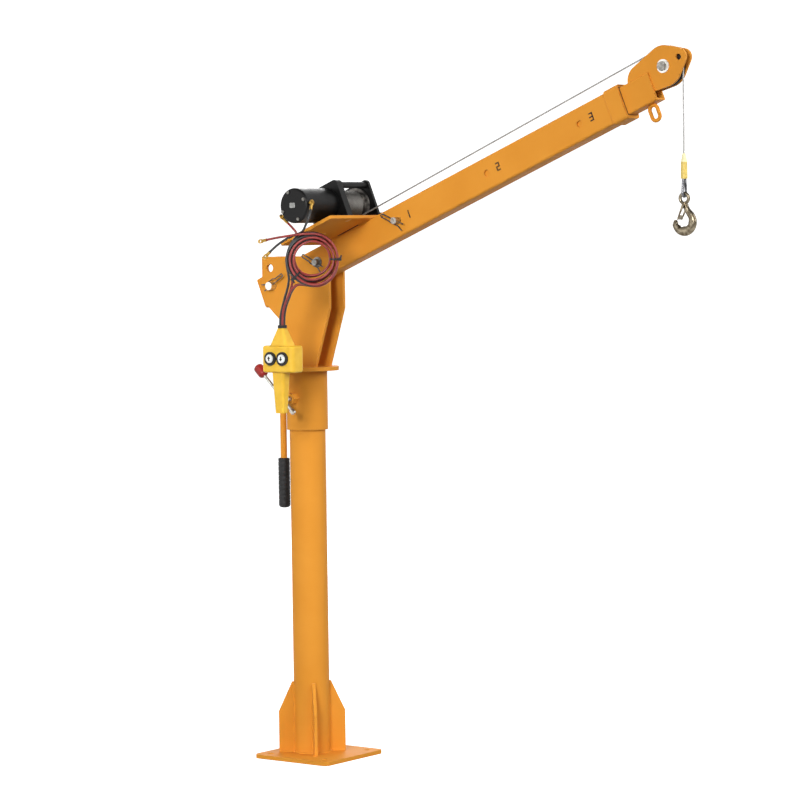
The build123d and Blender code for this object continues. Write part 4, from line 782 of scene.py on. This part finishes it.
def wire_rope(name, points, resolution, material):
    """Rope of six twisted strands along a smooth line; its attribute is 1 on the strands' crowns."""
    line = smooth_line(points, resolution)
    shape = bmesh.new()
    rows = []
    crowns = []
    travelled = 0.0
    radius = ROPE_DIA / 2 / METRE
    for place, (side, up) in enumerate(sides_along(line)):
        if place:
            travelled += (line[place] - line[place - 1]).length
        twist = 2 * math.pi * travelled * METRE / ROPE_LAY
        row = []
        for angle in full_turn(ROPE_AROUND):
            off = (angle + math.pi / 6) % (math.pi / 3) - math.pi / 6
            reach = 2 / 3 * math.cos(off) + math.sqrt(max(1 / 9 - 4 / 9 * math.sin(off) ** 2, 0.0))
            turned = angle + twist
            row.append(line[place] + (side * math.cos(turned) + up * math.sin(turned)) * (radius * reach))
            crowns.append((reach - ROPE_GROOVE) / (1.0 - ROPE_GROOVE))
        rows.append(row)
    skin(shape, rows)
    piece = finish_piece(shape, name, material, 75.0)
    strand = piece.data.attributes.new("strand", "FLOAT", "POINT")
    strand.data.foreach_set("value", crowns)
    return piece


def arc_route(centre, right, up, radius, first, last, count, drift=Vector((0.0, 0.0, 0.0))):
    """Control points of a circular arc in a plane, with an optional drift along its whole length."""
    step = (last - first) / count
    grow = radius / math.cos(step / 2)
    places = [(first, radius, 0.0)]
    places += [(first + step * (place + 0.5), grow, (place + 0.5) / count) for place in range(count)]
    places += [(last, radius, 1.0)]
    return [centre + right * (math.cos(angle) * reach) + up * (math.sin(angle) * reach) + drift * share
            for angle, reach, share in places]


def rope_slope():
    """Angle of the rope above the boom's length: it leaves under the drum and goes over the sheave."""
    span_u = SHEAVE[0] - WINCH[0]
    span_v = SHEAVE[1] - WINCH[1]
    return math.asin((DRUM_PITCH + SHEAVE_PITCH) / math.hypot(span_u, span_v)) + math.atan2(span_v, span_u)


def crane_rope():
    """Rope on the drum, along the boom, over the sheave and down to its sleeve."""
    slope = rope_slope()
    start = boom(WINCH[0] + math.sin(slope) * DRUM_PITCH, WINCH[1] - math.cos(slope) * DRUM_PITCH, 0.0)
    end = boom(SHEAVE[0] - math.sin(slope) * SHEAVE_PITCH, SHEAVE[1] + math.cos(slope) * SHEAVE_PITCH, 0.0)
    leaves = slope - math.pi / 2
    turns = arc_route(MOTOR_AXIS, ALONG, ABOVE, DRUM_PITCH, leaves, leaves - 2 * math.pi * ROPE_TURNS,
                      DRUM_TURN_POINTS * ROPE_TURNS, Vector((0.0, -ROPE_PITCH * ROPE_TURNS, 0.0)))
    winding = wire_rope("rope_on_drum", turns, 7, SHADED_DRUM_ROPE)
    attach(winding, "drum")
    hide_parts("rope_winding")
    run = wire_rope("rope_along_boom", [start, (start + end) / 2, end], 300, ROPE)
    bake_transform(run)
    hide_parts("rope_run")
    meets = math.pi / 2 + BOOM_ANGLE + slope
    over = arc_route(SHEAVE_CENTRE, Vector((1.0, 0.0, 0.0)), UP, SHEAVE_PITCH, meets, 0.0, 8)
    wrap = wire_rope("rope_over_sheave", over, 6, ROPE)
    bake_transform(wrap)
    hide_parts("rope_wrap")
    top = Vector((DROP_X, 0.0, SHEAVE_CENTRE.z))
    foot = top - UP * DROP_LENGTH
    drop = wire_rope("rope_to_hook", [top, (top + foot) / 2, foot], 70, ROPE)
    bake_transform(drop)
    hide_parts("rope_drop")


crane_rope()


# Hook
SHANK_STEPS = 14
BOWL_STEPS = 56
HOOK_AROUND = 20
HOOK_SQUARENESS = 0.8
HOOK_TAPER = 0.12


def hook_stations():
    """Centre line of the hook's shank and bowl, with how far along each point lies, in the hook's plane."""
    shank_top = Vector((0.0, EYE_Z - EYE_RING))
    across = -Vector((math.cos(HOOK_SHANK_TURN), math.sin(HOOK_SHANK_TURN)))
    bowl_start = -across * HOOK_BOWL + Vector((0.0, BOWL_Z))
    chord = shank_top - bowl_start
    bend = chord.dot(chord) / (2 * across.dot(chord))
    centre = bowl_start + across * bend
    first = shank_top - centre
    turn = first.angle_signed(bowl_start - centre)
    stations = []
    for step in range(SHANK_STEPS):
        share = step / SHANK_STEPS
        stations.append((centre + Matrix.Rotation(-turn * share, 2) @ first, share))
    for step in range(BOWL_STEPS + 1):
        share = step / BOWL_STEPS
        angle = HOOK_SHANK_TURN - (HOOK_SHANK_TURN + HOOK_TIP_TURN) * share
        spot = Vector((math.cos(angle), math.sin(angle))) * HOOK_BOWL + Vector((0.0, BOWL_Z))
        stations.append((spot, 1.0 + share))
    return stations


def keyed(keys, place):
    """Value at a place, eased between keyed places."""
    for (low, first), (high, last) in zip(keys, keys[1:]):
        if place <= high:
            share = max(0.0, (place - low) / (high - low))
            return first + (last - first) * share * share * (3 - 2 * share)
    return keys[-1][1]


def hook_forging():
    """Forged eye hook: ring eye, waisted shank, deep bowl and pointed tip."""
    shape = bmesh.new()
    depth = [(0.0, 13.0), (0.5, 13.0), (1.0, 16.5), (1.2, 20.0), (1.55, 23.0), (1.8, 18.0), (1.93, 12.0),
             (2.0, 5.0)]
    thick = [(0.0, 12.0), (0.6, 12.0), (1.2, 14.0), (1.6, 15.0), (1.85, 13.0), (2.0, 5.0)]
    stations = hook_stations()
    rows = []
    last = len(stations) - 1
    for place, (spot, share) in enumerate(stations):
        ahead = (stations[min(place + 1, last)][0] - stations[max(place - 1, 0)][0]).normalized()
        out = Vector((-ahead.y, ahead.x))
        deep = keyed(depth, share)
        wide = keyed(thick, share)
        shift = (HOOK_WIRE - deep) / 2 if 1.0 < share < 1.9 else 0.0
        middle = spot + out * shift
        row = []
        for angle in full_turn(HOOK_AROUND):
            reach = math.copysign(abs(math.cos(angle)) ** HOOK_SQUARENESS, math.cos(angle)) * deep / 2
            aside = math.copysign(abs(math.sin(angle)) ** HOOK_SQUARENESS, math.sin(angle)) * wide / 2
            aside *= 1.0 - HOOK_TAPER * math.cos(angle)
            flat = middle + out * reach
            row.append(Vector((DROP_X + flat.x, aside, flat.y)) / METRE)
        rows.append(row)
    skin(shape, rows)
    ring = []
    for turn in (*full_turn(36), 2 * math.pi):
        angle = turn - math.pi / 2
        ahead = Vector((math.cos(angle), 0.0, math.sin(angle)))
        centre = Vector((DROP_X, 0.0, EYE_Z)) + ahead * EYE_RING
        ring.append([(centre + ahead * (math.cos(a) * EYE_WIRE / 2)
                      + Vector((0.0, math.sin(a) * EYE_WIRE / 2, 0.0))) / METRE for a in full_turn(14)])
    skin(shape, ring, caps=False)
    bmesh.ops.remove_doubles(shape, verts=shape.verts, dist=1e-6)
    piece = finish_piece(shape, "hook_forging", HOOK_STEEL, 60.0)
    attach(piece, "hook")
    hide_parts("hook")


hook_forging()


# Welds, marks and grips
WELD_STEP = 2.2
WELD_AROUND = 8
WELD_UNEVEN = 0.2
WELD_LUMPS = 90.0
WELD_RIPPLE = 0.1


def rippled_tube(shape, places, radius):
    """Uneven, rippled tube along points in millimetres, for weld beads and for thin lines of painted shadow.
    """
    line = metres(places)
    rows = []
    for place, (side, up) in enumerate(sides_along(line)):
        lump = WELD_UNEVEN * noise.noise(line[place] * WELD_LUMPS)
        size = radius / METRE * (1.0 + lump + WELD_RIPPLE * (place % 2))
        rows.append([line[place] + (side * math.cos(a) + up * math.sin(a)) * size
                     for a in full_turn(WELD_AROUND)])
    skin(shape, rows)


def straight(first, last):
    """Points every two millimetres or so between two points."""
    first, last = Vector(first), Vector(last)
    count = max(2, round((last - first).length / WELD_STEP))
    return [first.lerp(last, step / count) for step in range(count + 1)]


def round_about(radius, height, first=0.0, last=360.0):
    """Points on a level circle about the column, between two angles."""
    count = max(6, round(math.radians(last - first) * radius / WELD_STEP))
    angles = [math.radians(first + (last - first) * step / count) for step in range(count + 1)]
    return [Vector((radius * math.cos(a), radius * math.sin(a), height)) for a in angles]


def weld_piece(name, body, lines, radius=2.6):
    """One body's weld beads as one painted piece."""
    shape = bmesh.new()
    for line in lines:
        rippled_tube(shape, line, radius)
    piece = finish_piece(shape, name, ORANGE, 60.0)
    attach(piece, body)


def crane_welds():
    """Beads on the gussets, the sleeve's flange and yoke, the boom's platform and collar; lines of painted
    shadow in the open gaps at the platform and the boom's nose.
    """
    mast = []
    for corner in GUSSET_CORNERS:
        out = Vector((math.cos(math.radians(corner)), math.sin(math.radians(corner)), 0.0))
        across = Vector((-out.y, out.x, 0.0))
        mast.append(round_about(COLUMN + 0.6, PLATE_TOP, corner + 6.0, corner + 84.0))
        for side in (-1, 1):
            root = out * (COLUMN - 0.2) + across * (side * GUSSET_HALF)
            mast.append(straight(root + UP * PLATE_TOP, root + UP * (PLATE_TOP + GUSSET_WELD_RISE)))
            mast.append(straight(root + UP * PLATE_TOP, root + out * GUSSET_WELD_REACH + UP * PLATE_TOP))
    weld_piece("mast_welds", "mast", mast)
    head = [round_about(SLEEVE_RADIUS + 0.4, FLANGE_UNDER)]
    for y in YOKE_FACES:
        head.append(straight((-YOKE_FOOT, y, FLANGE_UNDER + 10.0), (YOKE_FOOT, y, FLANGE_UNDER + 10.0)))
    for y in (-BRACKET_HALF, BRACKET_HALF):
        x = -math.sqrt(SLEEVE_RADIUS ** 2 - y ** 2)
        head.append(straight((x, y, HANDLE_Z - 10.0), (x, y, HANDLE_Z + 10.0)))
    weld_piece("head_welds", "slew_head", head)
    tube = []
    for y in (-BOOM_SIDE, BOOM_SIDE):
        for first, last in (PLATFORM_STOPS[:2], PLATFORM_STOPS[2:]):
            tube.append(straight(boom(first, BOOM_TOP, y), boom(last, BOOM_TOP, y)))
        tube.append(straight(boom(COLLAR_U, -COLLAR_WELD[0], y), boom(COLLAR_U, COLLAR_WELD[0], y)))
    for v in (-BOOM_TOP, BOOM_TOP):
        tube.append(straight(boom(COLLAR_U, v, -COLLAR_WELD[1]), boom(COLLAR_U, v, COLLAR_WELD[1])))
    weld_piece("boom_welds", "boom", tube, 2.0)
    # Thin dark lines as painted shadow: the open gap between platform and boom, and the gap round the inner
    # tube at the boom's nose.
    shape = bmesh.new()
    for y in (-BOOM_SIDE, BOOM_SIDE):
        first, last = [boom(u, BOOM_TOP, y) for u in PLATFORM_STOPS[1:3]]
        rippled_tube(shape, straight(first, last), 0.9)
    corners = [boom(NOSE_U + 0.4, v * NOSE_SEAM[0], y * NOSE_SEAM[1])
               for v, y in ((-1, -1), (1, -1), (1, 1), (-1, 1))]
    for first, last in zip(corners, corners[1:] + corners[:1]):
        rippled_tube(shape, straight(first, last), 0.8)
    piece = finish_piece(shape, "gap_shadow_lines", PRINT_AND_GAP_SHADE, 60.0)
    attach(piece, "boom")


crane_welds()


def prism(shape, corners, front):
    """Add a flat piece between two copies of an outline, in millimetres."""
    low = [shape.verts.new(point / METRE) for point in corners]
    high = [shape.verts.new((point + front) / METRE) for point in corners]
    shape.faces.new(low)
    shape.faces.new(list(reversed(high)))
    for place in range(len(corners)):
        after = (place + 1) % len(corners)
        shape.faces.new((low[place], high[place], high[after], low[after]))


def boom_numerals():
    """Stencilled numerals 1, 2 and 3 beside the length holes, as plain strokes."""
    strokes = {
        "top": (0.0, 17.0, 11.0, 20.0),
        "middle": (0.0, 8.5, 11.0, 11.5),
        "foot": (0.0, 0.0, 11.0, 3.0),
        "right_high": (8.0, 11.5, 11.0, 17.0),
        "right_low": (8.0, 3.0, 11.0, 8.5),
        "left_low": (0.0, 3.0, 3.0, 8.5),
        "stem": (4.0, 0.0, 7.5, 20.0),
    }
    numerals = (("stem",), ("top", "right_high", "middle", "left_low", "foot"),
                ("top", "right_high", "middle", "right_low", "foot"))
    shape = bmesh.new()
    for hole, names in zip(LENGTH_HOLES, numerals):
        for name in names:
            u0, v0, u1, v1 = strokes[name]
            corners = [boom(hole + NUMERAL_ASIDE + u, v - NUMERAL_DROP, -BOOM_SIDE - 0.05)
                       for u, v in ((u0, v0), (u1, v0), (u1, v1), (u0, v1))]
            prism(shape, corners, Vector((0.0, -0.12, 0.0)))
    piece = finish_piece(shape, "boom_numerals", PRINT_AND_GAP_SHADE)
    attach(piece, "boom")


def button_arrow(name, body, x, way):
    """Arrow printed on a push button."""
    shape = bmesh.new()
    outline = ((0.0, 5.5), (4.6, 0.2), (1.7, 0.2), (1.7, -5.2), (-1.7, -5.2), (-1.7, 0.2), (-4.6, 0.2))
    corners = [Vector((x + across, BUTTON_FACE_Y, BUTTON_Z + up * way)) for across, up in outline]
    prism(shape, corners, Vector((0.0, -0.15, 0.0)))
    piece = finish_piece(shape, name, PRINT_AND_GAP_SHADE)
    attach(piece, body)


def motor_plate():
    """Small blank plate fixed to the motor's end, with two rivets."""
    shape = bmesh.new()
    face = MOTOR_AXIS + Vector((-3.0, MOTOR_END_Y, 1.0))
    outline = [(8.0, 4.5), (6.5, 6.0), (-6.5, 6.0), (-8.0, 4.5), (-8.0, -4.5), (-6.5, -6.0), (6.5, -6.0),
               (8.0, -4.5)]
    prism(shape, [face + Vector((x, -0.02, z)) for x, z in outline], Vector((0.0, -0.5, 0.0)))
    for x in (-6.2, 6.2):
        rivet = face + Vector((x, -0.5, 0.0))
        rows = [[(rivet + Vector((size * math.cos(a), -out, size * math.sin(a)))) / METRE
                 for a in full_turn(12)]
                for size, out in ((1.0, 0.0), (0.9, 0.35), (0.5, 0.6))]
        skin(shape, rows)
    piece = finish_piece(shape, "motor_plate", NAMEPLATE)
    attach(piece, "boom")


boom_numerals()
button_arrow("up_mark", "up_button", UP_BUTTON_X, 1)
button_arrow("down_mark", "down_button", DOWN_BUTTON_X, -1)
motor_plate()


def lathe(shape, origin, axis, profile, around=36):
    """Turned piece about an axis from places along it and radii, in millimetres."""
    side = axis.orthogonal().normalized()
    up = axis.cross(side)
    rows = [[(origin + axis * along + (side * math.cos(a) + up * math.sin(a)) * radius) / METRE
             for a in full_turn(around)] for along, radius in profile]
    skin(shape, rows)


def handle_sleeve():
    """Soft grip of the push handle: rounded end, shallow finger grooves and a lip at the top."""
    shape = bmesh.new()
    profile = [(0.0, 6.0), (1.0, 10.0), (3.0, 13.0), (6.0, 14.2)]
    for groove in range(9):
        start = 9.0 + groove * 12.0
        profile += [(start, 14.4), (start + 8.6, 14.4), (start + 9.4, 13.9), (start + 11.2, 13.9)]
    profile += [(118.0, 14.4), (122.0, 14.4), (123.6, 13.6), (124.0, 12.0), (124.0, 8.2)]
    lathe(shape, Vector((HANDLE_X, 0.0, GRIP_FOOT)), UP, profile)
    piece = finish_piece(shape, "handle_sleeve", RUBBER, 50.0)
    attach(piece, "handle")
    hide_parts("handle_grip")


handle_sleeve()


# Studio

# Place of the horizon between straight down at 0 and straight up at 1
HORIZON = 0.5


def studio_world():
    """Grey studio around the crane: brightest at eye level, dimmer from above and from below."""
    world = bpy.data.worlds.new("studio")
    world.use_nodes = True
    tree = world.node_tree
    height = add(tree, "SeparateXYZ", {"Vector": add(tree, "TexCoord", out="Generated")}, "Z")
    rise = add(tree, "MapRange", {"Value": height, "From Min": -1.0, "From Max": 1.0}, "Result")
    shade = add(tree, "ValToRGB", {"Fac": rise})
    stops = shade.color_ramp.elements
    stops.remove(stops[1])
    stops[0].position = HORIZON - 0.01
    stops[0].color = (*[0.2] * 3, 1.0)
    for position, grey in ((HORIZON, 0.45), (0.56, 0.45), (0.66, 0.36), (1.0, 0.36)):
        stops.new(position).color = (*[grey] * 3, 1.0)
    tree.links.new(shade.outputs["Color"], tree.nodes["Background"].inputs["Color"])
    scene.world = world


def pale_stage(name, mottle, glow):
    """Make the newest object a white surface, seen by the camera and in reflections only."""
    piece = bpy.context.object
    piece.name = name
    material, tree, coords = begin(name)
    cloud = speckle(tree, coords, mottle)
    surface(tree, {
        "Base Color": add(tree, "Mix", {FACTOR: cloud, FIRST: linear("#F4F4F3"), SECOND: linear("#F6F6F5")},
                          MIXED, data_type="RGBA"),
        "Roughness": 0.9,
        "Emission Color": (1.0, 1.0, 1.0, 1.0),
        "Emission Strength": glow,
    })
    piece.data.materials.append(material)
    piece.visible_diffuse = False
    return piece


def studio_stage():
    """White floor that takes the crane's shadow, and a round white backdrop behind it that casts none."""
    bpy.ops.mesh.primitive_plane_add(size=130.0, location=(0.0, 0.0, -0.0005))
    pale_stage("pale_floor", 900.0, 0.72)
    bpy.ops.mesh.primitive_cylinder_add(vertices=96, radius=60.0, depth=60.0, end_fill_type="NOTHING",
                                        location=(0.0, 0.0, 29.0))
    pale_stage("pale_wall", 3000.0, 1.0).visible_shadow = False


def studio_lamps():
    """Soft lamps: a narrow one near the camera, fills at the right and low at the left, one behind."""
    for name, place, size, power, spread in (
        ("key", (2.0, -5.6, 2.8), 1.8, 33.0, 60.0),
        ("right_fill", (5.6, 0.8, 3.4), 3.0, 190.0, 180.0),
        ("left_fill", (-2.2, -5.4, 0.6), 3.0, 44.0, 180.0),
        ("back", (-2.5, 5.5, 3.2), 3.0, 150.0, 180.0),
    ):
        data = bpy.data.lights.new(name, "AREA")
        data.size = size
        data.energy = power
        data.spread = math.radians(spread)
        lamp = bpy.data.objects.new(name, data)
        lamp.location = place
        aim = Vector((0.0, 0.0, 0.8)) - Vector(place)
        lamp.rotation_euler = aim.to_track_quat("-Z", "Y").to_euler()
        scene.collection.objects.link(lamp)


studio_world()
studio_stage()
studio_lamps()
scene.view_settings.view_transform = "Standard"
